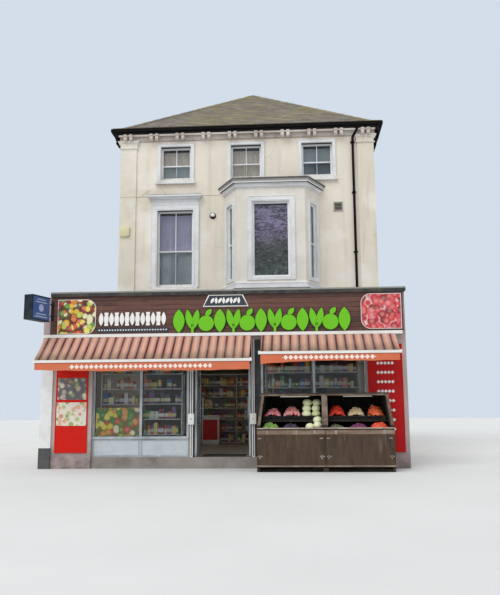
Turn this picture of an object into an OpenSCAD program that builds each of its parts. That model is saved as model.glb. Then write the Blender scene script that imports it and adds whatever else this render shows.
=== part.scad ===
// A three-storey stuccoed house with a one-storey shop built out in front of it.
// Millimetres. +Z is up, X runs along the street front and +Y runs into the building.
// The origin is the centre of the footprint, on the ground.

/* [Plot] */
// Width of the shop, outside its side walls
shop_w = 8400; // [8000:50:9600]
// Depth of the shop in front of the house
shop_d = 4600; // [3600:50:6500]
// Width of the house, flush with the shop on the right
house_w = 7850; // [7600:50:8200]
// Depth of the house, front to back
house_d = 8800; // [7800:50:11000]

/* [Levels] */
// Top of the shop floor
floor_z = 250; // [180:5:300]
// Height from the shop floor to the underside of the beam over the shop front
head_h = 2650; // [2500:10:2800]
// Height of the strip of beam left bare under the signboard
sign_gap = 130; // [100:5:200]
// Height of the signboard
sign_h = 920; // [800:10:1000]
// How far the signboard and the shop's side walls rise over the flat roof
parapet_h = 100; // [60:5:200]
// Height from the flat roof up to the first floor
roof_step_h = 450; // [350:10:600]
// Height from the first floor to the second floor
first_storey_h = 3350; // [3200:10:3600]
// Height of wall over the top storey windows
upper_head_h = 520; // [470:5:700]

/* [Walls] */
// Thickness of the house walls
house_wall = 340; // [280:10:420]
// Thickness of the side walls of the shop
shop_wall = 300; // [220:10:320]
// Thickness of the upper floors
slab_t = 250; // [180:10:300]
// Thickness of the flat roof
flat_roof_t = 220; // [150:10:260]
// Depth of the beam and piers along the shop front
beam_d = 360; // [300:10:450]
// Height of the ground storey opening from the shop into the house
hall_h = 3050; // [2600:10:3200]
// Length of wall left at each side of that opening
hall_nib = 700; // [500:10:1200]

/* [Roof] */
// Rise of the roof from its eaves to its ridge
roof_rise = 2990; // [2400:10:3600]
// Upright thickness of the roof, slates and rafters
roof_t = 300; // [260:5:360]
// Width of the soffit under the eaves
soffit_w = 150; // [120:5:170]
// Thickness of the soffit and of the board at its edge
soffit_t = 25; // [18:1:35]
// Height of the board at the edge of the eaves
eaves_board_h = 200; // [170:5:230]
// Width and height of the gutter
gutter_w = 100; // [80:5:120]
// Thickness of the gutter's wall
gutter_wall = 8; // [5:1:12]
// Height of the frieze under the soffit
frieze_h = 190; // [160:5:220]
// How far the frieze stands out from the wall
frieze_t = 40; // [25:5:50]
// Width of one bracket under the eaves
bracket_w = 105; // [80:5:120]
// Pitch of the pairs of brackets
bracket_pitch = 790; // [700:10:900]
// Distance between the two brackets of a pair, centre to centre
bracket_gap = 175; // [150:5:220]
// Diameter of the downpipe
downpipe_dia = 76; // [60:2:100]

/* [Sash windows] */
// Width of a top storey window opening
upper_w = 940; // [800:10:1050]
// Height of a top storey window opening
upper_h = 1070; // [950:10:1150]
// Height of the top storey window openings over the second floor
upper_sill_h = 690; // [600:10:800]
// Distance between the centres of the top storey windows
upper_pitch = 2190; // [2000:10:2300]
// Width of the tall first storey window opening
tall_w = 1110; // [950:10:1200]
// Height of the tall first storey window opening
tall_h = 2400; // [2200:10:2420]
// Height of the first storey window openings over the first floor
tall_sill_h = 660; // [580:10:740]
// Height of the first storey windows at the sides and back
side_h = 1900; // [1600:10:2200]
// Distance from a side window's centre to the corner of the house
side_in = 2640; // [1800:10:3200]
// Height of a top storey window's lower sash
upper_meeting_h = 480; // [400:5:560]
// Height of the tall window's lower sash
tall_meeting_h = 1128; // [1000:10:1250]
// How far a window sits back from the face of its wall
reveal = 110; // [80:5:160]
// Width of a sash frame's sides
stile = 55; // [40:1:70]
// Depth of a sash frame
sash_d = 90; // [60:5:120]
// Thickness of the window glass
glass_t = 8; // [4:1:12]

/* [Mouldings] */
// Width of the corner pilasters
pilaster_w = 500; // [400:10:600]
// How far pilasters and window surrounds stand out
relief = 45; // [30:5:60]
// Width of the plain surround of a top storey window
surround_w = 100; // [70:5:130]
// Width of the plain surround of the tall window
tall_surround_w = 180; // [140:5:200]
// How far a window sill stands out
sill_out = 110; // [80:5:140]
// Height of a window sill
sill_h = 110; // [80:5:130]

/* [Bay window] */
// Centre of the bay, from the centre of the house
bay_off = 775; // [650:5:820]
// Half the width of the bay at the wall
bay_half = 1430; // [1350:10:1500]
// Half the width of its front face
bay_front_half = 1000; // [940:10:1050]
// How far the bay stands out
bay_d = 800; // [700:10:850]
// Thickness of the bay's walls
bay_wall = 150; // [120:5:180]
// Height from the underside of the bay's cornice up to the top storey window openings
bay_drop_h = 550; // [520:10:600]
// Width of the bay's front window opening
bay_win_w = 1090; // [900:10:1200]
// Width of the bay's side window openings
bay_side_w = 440; // [380:10:480]
// Distance from the wall to the centre of a side window, along the side face
bay_side_in = 417; // [390:1:460]
// Height of the bay's window openings over the first floor
bay_sill_h = 780; // [700:10:860]
// Height of the bay's window openings
bay_win_h = 2260; // [2100:10:2300]
// Height of a bay side window's lower sash
bay_meeting_h = 1062; // [950:1:1200]

/* [Shop front] */
// Width of the white end pilaster
end_pilaster_w = 270; // [200:10:300]
// Right edge of the left pier, from the left end of the shop
left_pier_end = 1200; // [1100:10:1250]
// Width of the right pier
right_pier_w = 900; // [850:10:950]
// Left edge of the door frame, from the left end of the shop
door_left = 3440; // [3400:10:3500]
// Width of the clear doorway
door_w = 1345; // [1280:5:1380]
// Width of the frame's left upright
left_jamb_w = 100; // [85:5:130]
// Width of the dark post at the right of the doorway
right_jamb_w = 215; // [180:5:240]
// Height of the door leaves
leaf_h = 2080; // [2000:10:2150]
// Thickness of a door leaf
leaf_t = 45; // [38:1:50]
// How far the glazing sits back from the face of the piers
glazing_back = 100; // [80:5:140]
// Depth of the shop front's metal frame
frame_d = 80; // [60:5:100]
// Width of its bars
frame_w = 50; // [40:2:60]
// Height of the low panels under the shop windows
riser_h = 410; // [350:10:470]
// Width of the left window's first light, from the pier to the mullion's centre
left_light_w = 1126; // [1000:2:1300]
// Width of the right window's first light, from the doorway's post to the mullion's centre
right_light_w = 1210; // [1100:2:1300]
// Thickness of the signboard
sign_t = 100; // [80:5:140]
// Thickness of the lead coping
coping_t = 100; // [70:5:110]

/* [Awnings] */
// Projection of both awnings from the face of the piers
awning_out = 750; // [700:10:900]
// How far the left awning's front bar lies below the signboard
left_bar_drop = 640; // [560:5:700]
// How far the right awning's front bar lies below the signboard
right_bar_drop = 500; // [440:5:560]
// Thickness of the front bars
bar_t = 70; // [60:2:80]
// Height of the hanging edge of cloth below a front bar
valance_h = 230; // [200:5:260]
// Thickness of the awnings' cloth
cloth_t = 12; // [8:1:14]
// Width of the left awning
left_awning_w = 4890; // [4800:10:4920]
// Gap between the two awnings
awning_gap = 140; // [100:10:400]
// Distance from the right awning's end to the right end of the signboard
awning_end = 160; // [100:10:200]
// Height of the rail that carries the awnings
rail_h = 60; // [50:2:70]

/* [Produce stand] */
// Distance from the stand's right end to the right end of the shop
stand_right = 450; // [420:10:560]
// Length of the stand
stand_w = 2900; // [2700:10:3000]
// Front of the stand, out from the face of the piers
stand_out = 900; // [850:10:950]
// Height of the line that the flaps hinge on
counter_z = 890; // [880:5:920]
// Height of the sloping display over the hinge line
display_h = 760; // [700:5:790]
// How far the top of the display leans back from the hinge line
stand_lean = 175; // [150:5:200]
// Thickness of the stand's boards
board_t = 25; // [20:1:30]
// Height of the gap under the stand's front board
stand_plinth_h = 90; // [60:5:100]
// Depth of one tier of crates
tier_d = 300; // [260:5:340]
// Height of a crate with its produce
crate_h = 110; // [80:5:140]
// Crates side by side on each tier of a bay
crates = 3; // [2:1:4]

/* [Inside the shop] */
// Left end of the shelving, from the left end of the shop
shelving_left = 2900; // [2600:10:3200]
// Distance from the shelving's front to the shop front
shelving_in = 5900; // [5500:10:7000]
// Length of the shelving
shelving_w = 2300; // [1800:10:3000]
// Depth of the shelving
shelving_d = 450; // [350:10:600]
// Height from one shelf to the next
shelf_pitch = 350; // [300:10:400]
// Left side of the chest cabinet, from the left end of the shop
chest_left = 3080; // [2900:10:3400]
// Distance from the chest cabinet's front to the shop front
chest_in = 4950; // [4000:10:5100]
// Width of the chest cabinet
chest_w = 520; // [450:10:700]
// Depth of the chest cabinet
chest_d = 700; // [500:10:750]
// Height of the chest cabinet
chest_h = 870; // [800:10:950]

/* [Hidden] */

// Small amount by which a cutting shape runs past the face that it cuts
past = 20;
// Gap round a door leaf and round a flap
play = 6;
// Clearance round a pivot pin
pin_play = 0.3;
// Gap left where a piece is seated on a slanting or rounded face
seat_gap = 0.3;

total_d = shop_d + house_d;
front_y = -total_d / 2;
house_y = front_y + shop_d;
back_y = total_d / 2;
left_x = -shop_w / 2;
right_x = shop_w / 2;
house_left = right_x - house_w;
house_cx = (house_left + right_x) / 2;
house_cy = (house_y + back_y) / 2;

// Levels
head_z = floor_z + head_h;
sign_z = head_z + sign_gap;
sign_top_z = sign_z + sign_h;
flat_roof_z = sign_top_z - parapet_h;
first_floor_z = flat_roof_z + roof_step_h;
second_floor_z = first_floor_z + first_storey_h;
tall_z = first_floor_z + tall_sill_h;
upper_z = second_floor_z + upper_sill_h;
wall_top_z = upper_z + upper_h + upper_head_h;
bay_win_z = first_floor_z + bay_sill_h;
bay_top_z = upper_z - bay_drop_h;
riser_z = floor_z + riser_h;

// Places along the shop front
pier_l = left_x + left_pier_end;
pier_r = right_x - right_pier_w;
jamb_l = left_x + door_left;
door_x0 = jamb_l + left_jamb_w;
door_x1 = door_x0 + door_w;
jamb_r = door_x1 + right_jamb_w;
door_cx = (door_x0 + door_x1) / 2;
glaze_y = front_y + glazing_back;
glaze_back_y = glaze_y + frame_d;
left_mullion = pier_l + left_light_w;
right_mullion = jamb_r + right_light_w;

// Inner faces of the house, and the floor of the loft
in_l = house_left + house_wall;
in_r = right_x - house_wall;
in_f = house_y + house_wall;
in_b = back_y - house_wall;
loft_drop = 80;
loft_top_z = wall_top_z - loft_drop;
loft_t = 180;

// Windows of the house
upper_x = [for (i = [-1, 0, 1]) house_cx + i * upper_pitch];
tall_x = upper_x[0];
side_y = [house_y + side_in, back_y - side_in];
bay_cx = house_cx + bay_off;
meeting_h = 45;

// A block between two corners
module block(x0, x1, y0, y1, z0, z1) {
    translate([x0, y0, z0]) cube([x1 - x0, y1 - y0, z1 - z0]);
}

// An elevation drawn in X and Z and given a depth in Y, its front at y
module elevation(y, depth) {
    translate([0, y + depth, 0]) rotate([90, 0, 0]) linear_extrude(height = depth) children();
}

// A rectangle in an elevation
module panel(x0, x1, z0, z1) {
    translate([x0, z0]) square([x1 - x0, z1 - z0]);
}

// A rectangular ring in plan: the house's outline set out by out, less the same set out by inside
module house_ring(out, inside, z0, z1) {
    translate([0, 0, z0]) linear_extrude(height = z1 - z0) difference() {
        house_outline(out);
        house_outline(inside);
    }
}

module house_outline(out) {
    translate([house_left - out, house_y - out]) square([house_w + 2 * out, house_d + 2 * out]);
}

// Shop

module ground_floor() {
    color("#9a9a98") linear_extrude(height = floor_z) {
        translate([pier_l, front_y + frame_w]) square([pier_r - pier_l, beam_d - frame_w]);
        translate([left_x + shop_wall, front_y + beam_d])
            square([shop_w - 2 * shop_wall, shop_d - beam_d]);
        translate([house_left + hall_nib, house_y]) square([house_w - 2 * hall_nib, house_wall]);
        translate([in_l, in_f]) square([in_r - in_l, in_b - in_f]);
    }
}

module shop_left_wall() {
    color("#b49c9c") {
        block(left_x, left_x + shop_wall, front_y, house_y, 0, sign_top_z);
        block(left_x + shop_wall, pier_l, front_y, front_y + beam_d, 0, head_z);
    }
}

module shop_right_wall() {
    color("#b49c9c") {
        block(right_x - shop_wall, right_x, front_y, house_y, 0, sign_top_z);
        block(pier_r, right_x - shop_wall, front_y, front_y + beam_d, 0, head_z);
    }
}

module shop_front_beam() {
    color("#8d8a86")
        block(left_x + shop_wall, right_x - shop_wall, front_y, front_y + beam_d, head_z, sign_top_z);
}

module shop_flat_roof() {
    color("#5a5c60")
        block(left_x + shop_wall, right_x - shop_wall, front_y + beam_d, house_y,
            flat_roof_z - flat_roof_t, flat_roof_z);
}

end_plinth_h = 460;
end_plinth_out = 45;
end_out = 30;
module end_pilaster() {
    color("#e9e7e4") {
        block(left_x, left_x + end_pilaster_w, front_y - end_out, front_y, end_plinth_h, head_z);
        block(left_x, left_x + end_pilaster_w, front_y - end_plinth_out, front_y, 0, end_plinth_h);
    }
}

pier_board_t = 20;
pier_board_z = 350;
pier_board_in = 90;
pier_board_drop = 150;
pier_board_top = head_z - pier_board_drop;
right_board_in = [20, 100];
module left_pier_board() {
    color("#d01808")
        block(left_x + end_pilaster_w + pier_board_in, pier_l - pier_board_in,
            front_y - pier_board_t, front_y, pier_board_z, pier_board_top);
}

module right_pier_board() {
    color("#b01015")
        block(pier_r + right_board_in[0], right_x - right_board_in[1], front_y - pier_board_t, front_y,
            pier_board_z, pier_board_top);
}

sign_left_in = 190;
sign_right_in = 50;
sign_left = left_x + sign_left_in;
sign_right = right_x - sign_right_in;
module signboard() {
    color("#4a302a") block(sign_left, sign_right, front_y - sign_t, front_y, sign_z, sign_top_z);
}

coping_out = 40;
module lead_coping() {
    color("#3a3a3e")
        block(sign_left, right_x, front_y - sign_t - coping_out, front_y + beam_d + coping_out,
            sign_top_z, sign_top_z + coping_t);
}

hanging_sign_w = 640;
hanging_sign_h = 560;
hanging_sign_t = 225;
hanging_drop = 70;
hanging_sign_z = sign_top_z - hanging_drop - hanging_sign_h;
hanging_turn = 17;
hanging_arm_l = 245;
hanging_x = sign_left + 45;
hanging_plate_t = 8;
hanging_bar_t = 30;
module projecting_sign() {
    color("#2c4a86") translate([hanging_x, front_y - sign_t, hanging_sign_z]) {
        block(-hanging_bar_t, hanging_bar_t, -hanging_plate_t, 0, 0.1 * hanging_sign_h, 0.9 * hanging_sign_h);
        rotate([0, 0, -hanging_turn]) {
            translate([-hanging_sign_t / 2, -hanging_arm_l - hanging_sign_w, 0])
                cube([hanging_sign_t, hanging_sign_w, hanging_sign_h]);
            for (z = [0.25, 0.75] * hanging_sign_h) translate([-hanging_bar_t / 2, -hanging_arm_l - 1, z])
                cube([hanging_bar_t, hanging_arm_l + 1 - hanging_plate_t, hanging_bar_t]);
        }
    }
}

// Outline of a glazing frame with upright bars
module glazing(x0, x1, z0, z1, bars, bar_w) {
    difference() {
        panel(x0, x1, z0, z1);
        difference() {
            panel(x0 + frame_w, x1 - frame_w, z0 + frame_w, z1 - frame_w);
            for (x = bars) panel(x - bar_w / 2, x + bar_w / 2, z0, z1);
        }
    }
}

mullion_w = 58;
shop_sill_out = 45;
shop_sill_h = 44;
module shop_window_frames() {
    color("#b8c0c4") {
        elevation(glaze_y, frame_d) glazing(pier_l, jamb_l, riser_z, head_z, [left_mullion], mullion_w);
        block(pier_l, jamb_l, glaze_y - shop_sill_out, glaze_y, riser_z, riser_z + shop_sill_h);
        elevation(glaze_y, frame_d) glazing(jamb_r, pier_r, riser_z, head_z, [right_mullion], mullion_w);
        block(jamb_r, pier_r, glaze_y - shop_sill_out, glaze_y, riser_z, riser_z + shop_sill_h);
    }
}

module stall_risers() {
    color("#bcc6cc") {
        block(pier_l, jamb_l, glaze_y, glaze_back_y, floor_z, riser_z);
        block(jamb_r, pier_r, glaze_y, glaze_back_y, floor_z, riser_z);
    }
}

// One pane that fills a light of a frame, in the middle of its depth
module pane(x0, x1, z0, z1) {
    y = glaze_y + (frame_d - glass_t) / 2;
    block(x0, x1, y, y + glass_t, z0, z1);
}

module shop_glass() {
    half = mullion_w / 2;
    z0 = riser_z + frame_w;
    z1 = head_z - frame_w;
    color("#9fb4bb", 0.4) {
        pane(pier_l + frame_w, left_mullion - half, z0, z1);
        pane(left_mullion + half, jamb_l - frame_w, z0, z1);
        pane(jamb_r + frame_w, right_mullion - half, z0, z1);
        pane(right_mullion + half, pier_r - frame_w, z0, z1);
        pane(door_x0, door_x1, transom_z + transom_h, head_z - frame_w);
    }
}

pivot_plate_t = 4;
leaf_z = floor_z + pivot_plate_t + play;
transom_z = leaf_z + leaf_h + play;
transom_h = 60;
pivot_r = 12;
pivot_in = 52;
pivot_up = 40;
pivot_half = 30;
pivot_y = glaze_back_y + leaf_t / 2 + play;
module door_frame() {
    color("#2b2c2e") {
        elevation(glaze_y, frame_d) difference() {
            panel(jamb_l, jamb_r, floor_z, head_z);
            panel(door_x0, door_x1, floor_z - past, transom_z);
            panel(door_x0, door_x1, transom_z + transom_h, head_z - frame_w);
        }
        for (x = [door_x0 + pivot_in, door_x1 - pivot_in]) {
            block(x - pivot_half, x + pivot_half, glaze_back_y, pivot_y + pivot_half,
                transom_z, transom_z + transom_h);
            translate([x, pivot_y, transom_z - pivot_up]) cylinder(r = pivot_r, h = pivot_up, $fn = 40);
            translate([x, pivot_y, floor_z]) cylinder(r = pivot_r, h = pivot_up, $fn = 40);
        }
        block(door_x0, door_x1, glaze_y, pivot_y + pivot_half, floor_z, floor_z + pivot_plate_t);
    }
}

leaf_w = (door_w - 3 * play) / 2;
leaf_rail = 70;
leaf_stile = 60;
kick_z = 960;
heel = pivot_in - play;

// A door leaf, opened square into the shop, its pivot at the origin and its face across X
module leaf_frame() {
    difference() {
        translate([-leaf_t / 2, -heel, leaf_z]) cube([leaf_t, leaf_w, leaf_h]);
        translate([-leaf_t, leaf_stile - heel, kick_z])
            cube([2 * leaf_t, leaf_w - 2 * leaf_stile, leaf_z + leaf_h - leaf_rail - kick_z]);
        translate([0, 0, floor_z - past]) cylinder(r = pivot_r + pin_play, h = past + pivot_up + 2, $fn = 40);
        translate([0, 0, transom_z - pivot_up - 2])
            cylinder(r = pivot_r + pin_play, h = past + pivot_up, $fn = 40);
    }
}

module leaf_glass() {
    translate([-glass_t / 2, leaf_stile - heel, kick_z])
        cube([glass_t, leaf_w - 2 * leaf_stile, leaf_z + leaf_h - leaf_rail - kick_z]);
}

// A bar handle on both faces of the free edge
module leaf_handle() {
    handle_z = 850;
    handle_l = 480;
    handle_r = 14;
    handle_out = 55;
    for (side = [-1, 1]) {
        translate([side * (leaf_t / 2 + handle_out), leaf_w - heel - leaf_stile / 2, leaf_z + handle_z])
            cylinder(r = handle_r, h = handle_l, $fn = 24);
        for (z = [0.1, 0.9])
            translate([side * leaf_t / 2, leaf_w - heel - leaf_stile / 2, leaf_z + handle_z + handle_l * z])
                rotate([0, side * 90, 0]) cylinder(r = 8, h = handle_out, $fn = 20);
    }
}

module left_door() {
    color("#b8c0c4") translate([door_x0 + pivot_in, pivot_y, 0]) {
        leaf_frame();
        leaf_handle();
    }
}

module left_door_glass() {
    color("#9fb4bb", 0.4) translate([door_x0 + pivot_in, pivot_y, 0]) leaf_glass();
}

module right_door() {
    color("#b8c0c4") translate([door_x1 - pivot_in, pivot_y, 0]) {
        leaf_frame();
        leaf_handle();
    }
}

module right_door_glass() {
    color("#9fb4bb", 0.4) translate([door_x1 - pivot_in, pivot_y, 0]) leaf_glass();
}

guide_w = 70;
guide_d = glazing_back - frame_w;
lock_w = 140;
lock_h = 245;
lock_z = 975;
lock_out = 70;
module shutter_guides() {
    color("#eeeef0") for (x = [door_x0 - guide_w / 2, door_x1 + guide_w / 2]) {
        block(x - guide_w / 2, x + guide_w / 2, glaze_y - guide_d, glaze_y, floor_z, head_z);
        block(x - lock_w / 2, x + lock_w / 2, glaze_y - guide_d - lock_out, glaze_y - guide_d,
            lock_z, lock_z + lock_h);
    }
}

// Awnings

rail_out = 90;
rail_z = sign_z - rail_h;
rail_lip = 12;
rail_end = 40;
left_awning_in = 55;
left_awning_x = left_x + left_awning_in;
right_awning_x = left_awning_x + left_awning_w + awning_gap;
right_awning_w = sign_right - awning_end - right_awning_x;
left_bar_z = sign_z - left_bar_drop;
right_bar_z = sign_z - right_bar_drop;
module awning_rail() {
    color("#e8e4e0")
        block(left_awning_x, sign_right - rail_end, front_y - rail_out - sign_t, front_y - sign_t,
            rail_z, sign_z + rail_lip);
}

// Cloth between the rail and the front bar, and its hanging edge, drawn in Y and Z
cloth_drop = 20;
module awning_cloth(x, w, bar_z) {
    rail_y = front_y - sign_t - rail_out;
    bar_y = front_y - awning_out;
    hang_y = bar_y - bar_t / 2;
    bar_top = bar_z + bar_t / 2;
    hem_z = bar_z - bar_t / 2 - valance_h;
    color("#cf9a88") translate([x, 0, 0]) rotate([90, 0, 90]) linear_extrude(height = w) polygon([
        [rail_y, sign_z - cloth_drop],
        [bar_y, bar_top + cloth_t],
        [hang_y - cloth_t, bar_top],
        [hang_y - cloth_t, hem_z],
        [hang_y, hem_z],
        [hang_y, bar_top],
        [bar_y, bar_top],
        [rail_y, sign_z - cloth_drop - cloth_t]
    ]);
}

module left_awning() {
    awning_cloth(left_awning_x, left_awning_w, left_bar_z);
}

module right_awning() {
    awning_cloth(right_awning_x, right_awning_w, right_bar_z);
}

// Left end, width and bar height of each awning
awnings = [
    [left_awning_x, left_awning_w, left_bar_z],
    [right_awning_x, right_awning_w, right_bar_z]
];

module awning_bars() {
    y = front_y - awning_out;
    color("#efe9e2") for (a = awnings)
        block(a[0], a[0] + a[1], y - bar_t / 2, y + bar_t / 2, a[2] - bar_t / 2, a[2] + bar_t / 2);
}

// A folding arm between its bracket and a front bar: a bent bar lying in the slope between them
arm_t = 34;
arm_drop = 190;
arm_bend = 420;
arm_seat = 30;
arm_in = 500;
module awning_arm(x, side, bar_z) {
    out = awning_out - sign_t - bar_t / 2;
    drop = sign_z - arm_drop - bar_z;
    reach = norm([out, drop]) - arm_seat / 2;
    w = 1.4 * arm_t;
    translate([x, front_y - sign_t, sign_z - arm_drop]) rotate([atan(drop / out), 0, 0])
        translate([0, 0, -arm_t / 2]) linear_extrude(height = arm_t) polygon([
            [-w / 2, arm_seat / 2],
            [w / 2, arm_seat / 2],
            [side * arm_bend + w / 2, -reach / 2],
            [w / 2, -reach],
            [-w / 2, -reach],
            [side * arm_bend - w / 2, -reach / 2]
        ]);
    bracket_z = sign_z - arm_drop - 2 * arm_seat;
    block(x - arm_seat, x + arm_seat, front_y - sign_t - arm_seat, front_y, bracket_z, rail_z);
    seat_y = front_y - awning_out + bar_t / 2;
    block(x - arm_seat, x + arm_seat, seat_y, seat_y + arm_seat, bar_z - arm_seat, bar_z + arm_seat);
}

module awning_arms() {
    color("#dcd8d2") for (a = awnings) {
        awning_arm(a[0] + arm_in, 1, a[2]);
        awning_arm(a[0] + a[1] - arm_in, -1, a[2]);
    }
}

// Produce stand

stand_x1 = right_x - stand_right;
stand_x0 = stand_x1 - stand_w;
stand_h = counter_z + display_h;
stand_cx = (stand_x0 + stand_x1) / 2;
stand_front = front_y - stand_out;
stand_back = front_y - pier_board_t - seat_gap;
// The flaps hang in front of the cabinet, hinged on a line at their outer face
hinge_y = stand_front;
cabinet_y = hinge_y + board_t + play;
slope_angle = atan(stand_lean / display_h);
slope_gap = play / cos(slope_angle);
flap_l = norm([stand_lean, display_h]);
post_w = 120;
cheek_t = 60;

// Side outline of a cheek, drawn in Y and Z
module cheek(x, w) {
    front = hinge_y + slope_gap;
    translate([x, 0, 0]) rotate([90, 0, 90]) linear_extrude(height = w) polygon([
        [cabinet_y, 0],
        [stand_back, 0],
        [stand_back, stand_h],
        [front + stand_lean, stand_h],
        [front + board_t, counter_z + board_t / tan(slope_angle)],
        [cabinet_y, counter_z]
    ]);
}

module produce_stand() {
    color("#4a3b33") {
        cheek(stand_x0, cheek_t);
        cheek(stand_cx - post_w / 2, post_w);
        cheek(stand_x1 - cheek_t, cheek_t);
        block(stand_x0, stand_x1, stand_back - board_t, stand_back, 0, stand_h);
        block(stand_x0, stand_x1, cabinet_y, cabinet_y + board_t, stand_plinth_h, counter_z);
        block(stand_x0, stand_x1, hinge_y + slope_gap + stand_lean, stand_back, stand_h - board_t, stand_h);
        at_hinges(stand_x0, stand_cx - play / 2) hinge_lugs();
        at_hinges(stand_cx + play / 2, stand_x1) hinge_lugs();
    }
}

// Shelves in two tiers, the second above and behind the first, between the cheeks
tier_y = cabinet_y + board_t;
shelf_board_t = 20;
tier_drop = 120;
tier_rise = 150;
tiers = [[counter_z - tier_drop, 0], [counter_z + tier_rise, 1]];
stand_bay_w = (stand_w - post_w) / 2 - cheek_t;
stand_bays = [stand_x0 + cheek_t, stand_cx + post_w / 2];
module produce_shelves() {
    color("#5c4a3e") for (x = stand_bays, t = tiers)
        translate([x, tier_y + tier_d * t[1], t[0]]) cube([stand_bay_w, tier_d, shelf_board_t]);
}

// Crates full of produce, side by side on each tier
crate_gap = 12;
crate_d = tier_d - crate_gap;
crate_w = (stand_bay_w - crate_gap * (crates + 1)) / crates;
module produce_trays() {
    color("#35332f") for (x = stand_bays, t = tiers, i = [0 : crates - 1])
        translate([x + crate_gap + i * (crate_w + crate_gap), tier_y + tier_d * t[1], t[0] + shelf_board_t])
            cube([crate_w, crate_d, crate_h]);
}

// Hinges: lugs and a pin on the stand, a knuckle and strap on the flap
flap_gap = 16;
pin_r = 4;
knuckle_r = 8;
knuckle_l = 50;
lug_w = 12;
lug_r = 6;
hinge_in = 220;

// Calls its children at the two hinges of a flap that runs from x0 to x1
module at_hinges(x0, x1) {
    for (x = [x0 + hinge_in, x1 - hinge_in]) translate([x, hinge_y, counter_z]) children();
}

// Lugs of one hinge, its pin between them
module hinge_lugs() {
    for (s = [-1, 1]) {
        x = s * (knuckle_l / 2 + 1 + lug_w / 2);
        block(x - lug_w / 2, x + lug_w / 2, -lug_r, cabinet_y - hinge_y + board_t, -lug_r, lug_r);
    }
    translate([-knuckle_l / 2 - 2, 0, 0]) rotate([0, 90, 0]) cylinder(r = pin_r, h = knuckle_l + 4, $fn = 32);
}

// A flap hanging from its hinges, with a strap up to each knuckle
module flap(x0, x1) {
    color("#4a3b33") difference() {
        union() {
            block(x0, x1, hinge_y, hinge_y + board_t, counter_z - flap_l, counter_z - flap_gap);
            at_hinges(x0, x1) {
                rotate([0, 90, 0]) cylinder(r = knuckle_r, h = knuckle_l, center = true, $fn = 32);
                block(-knuckle_l / 2, knuckle_l / 2, 0, knuckle_r, -flap_gap - 1, 0);
            }
        }
        at_hinges(x0, x1) rotate([0, 90, 0])
            cylinder(r = pin_r + pin_play, h = knuckle_l + 2, center = true, $fn = 32);
    }
}

module left_flap() {
    flap(stand_x0, stand_cx - play / 2);
}

module right_flap() {
    flap(stand_cx + play / 2, stand_x1);
}

// Inside the shop

shelving_x0 = left_x + shelving_left;
shelving_y = front_y + shelving_in;
shelf_t = 25;
shelf_foot = 20;
shelves = 7;
upright_t = 30;
upright_over = 30;
shelving_h = shelf_foot + (shelves - 1) * shelf_pitch + upright_over;
module goods_shelving() {
    color("#c9c4bc") {
        block(shelving_x0, shelving_x0 + shelving_w, shelving_y + shelving_d - shelf_t,
            shelving_y + shelving_d, floor_z, floor_z + shelving_h);
        for (x = [for (k = [0, 0.5, 1]) shelving_x0 + k * (shelving_w - upright_t)])
            block(x, x + upright_t, shelving_y, shelving_y + shelving_d, floor_z, floor_z + shelving_h);
        for (z = [for (i = [0 : shelves - 1]) floor_z + shelf_foot + i * shelf_pitch])
            block(shelving_x0, shelving_x0 + shelving_w, shelving_y, shelving_y + shelving_d, z, z + shelf_t);
    }
}

chest_x0 = left_x + chest_left;
chest_y = front_y + chest_in;
module chest_cabinet() {
    color("#d8dadc")
        block(chest_x0, chest_x0 + chest_w, chest_y, chest_y + chest_d, floor_z, floor_z + chest_h);
}

// House walls

bay_open_z = first_floor_z;
bay_nib = 250;
bay_open_half = bay_half - bay_nib;
module house_front_wall() {
    color("#dad5c6") elevation(house_y, house_wall) difference() {
        union() {
            panel(house_left, right_x, 0, wall_top_z);
            panel(left_x, house_left + past, 0, sign_top_z);
        }
        panel(house_left + hall_nib, right_x - hall_nib, -past, floor_z + hall_h);
        for (x = upper_x) panel(x - upper_w / 2, x + upper_w / 2, upper_z, upper_z + upper_h);
        panel(tall_x - tall_w / 2, tall_x + tall_w / 2, tall_z, tall_z + tall_h);
        panel(bay_cx - bay_open_half, bay_cx + bay_open_half, bay_open_z, bay_win_z + bay_win_h);
    }
}

// A side wall drawn along Y and given its thickness in X
module side_wall(x) {
    translate([x, 0, 0]) rotate([90, 0, 90]) linear_extrude(height = house_wall) difference() {
        translate([in_f, 0]) square([in_b - in_f, wall_top_z]);
        for (y = side_y) {
            translate([y - upper_w / 2, upper_z]) square([upper_w, upper_h]);
            translate([y - upper_w / 2, tall_z]) square([upper_w, side_h]);
        }
    }
}

module house_left_wall() {
    color("#dad5c6") side_wall(house_left);
}

module house_right_wall() {
    color("#dad5c6") side_wall(right_x - house_wall);
}

back_door_w = 950;
back_door_h = 2080;
back_door_t = 60;
back_door_x = upper_x[2];
back_sill_h = 900;
back_win_z = floor_z + back_sill_h;
back_win_h = 1300;
module house_back_wall() {
    color("#dad5c6") elevation(in_b, house_wall) difference() {
        panel(house_left, right_x, 0, wall_top_z);
        for (x = upper_x) {
            panel(x - upper_w / 2, x + upper_w / 2, upper_z, upper_z + upper_h);
            panel(x - upper_w / 2, x + upper_w / 2, tall_z, tall_z + side_h);
        }
        panel(upper_x[0] - upper_w / 2, upper_x[0] + upper_w / 2, back_win_z, back_win_z + back_win_h);
        panel(back_door_x - back_door_w / 2, back_door_x + back_door_w / 2, floor_z, floor_z + back_door_h);
    }
}

module back_door() {
    color("#4d5a55")
        block(back_door_x - back_door_w / 2, back_door_x + back_door_w / 2, back_y - reveal - back_door_t,
            back_y - reveal, floor_z, floor_z + back_door_h);
}

module upper_floors() {
    color("#b9a78c") for (s = [[first_floor_z, slab_t], [second_floor_z, slab_t], [loft_top_z, loft_t]])
        block(in_l, in_r, in_f, in_b, s[0] - s[1], s[0]);
}

// Roof and eaves

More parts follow.
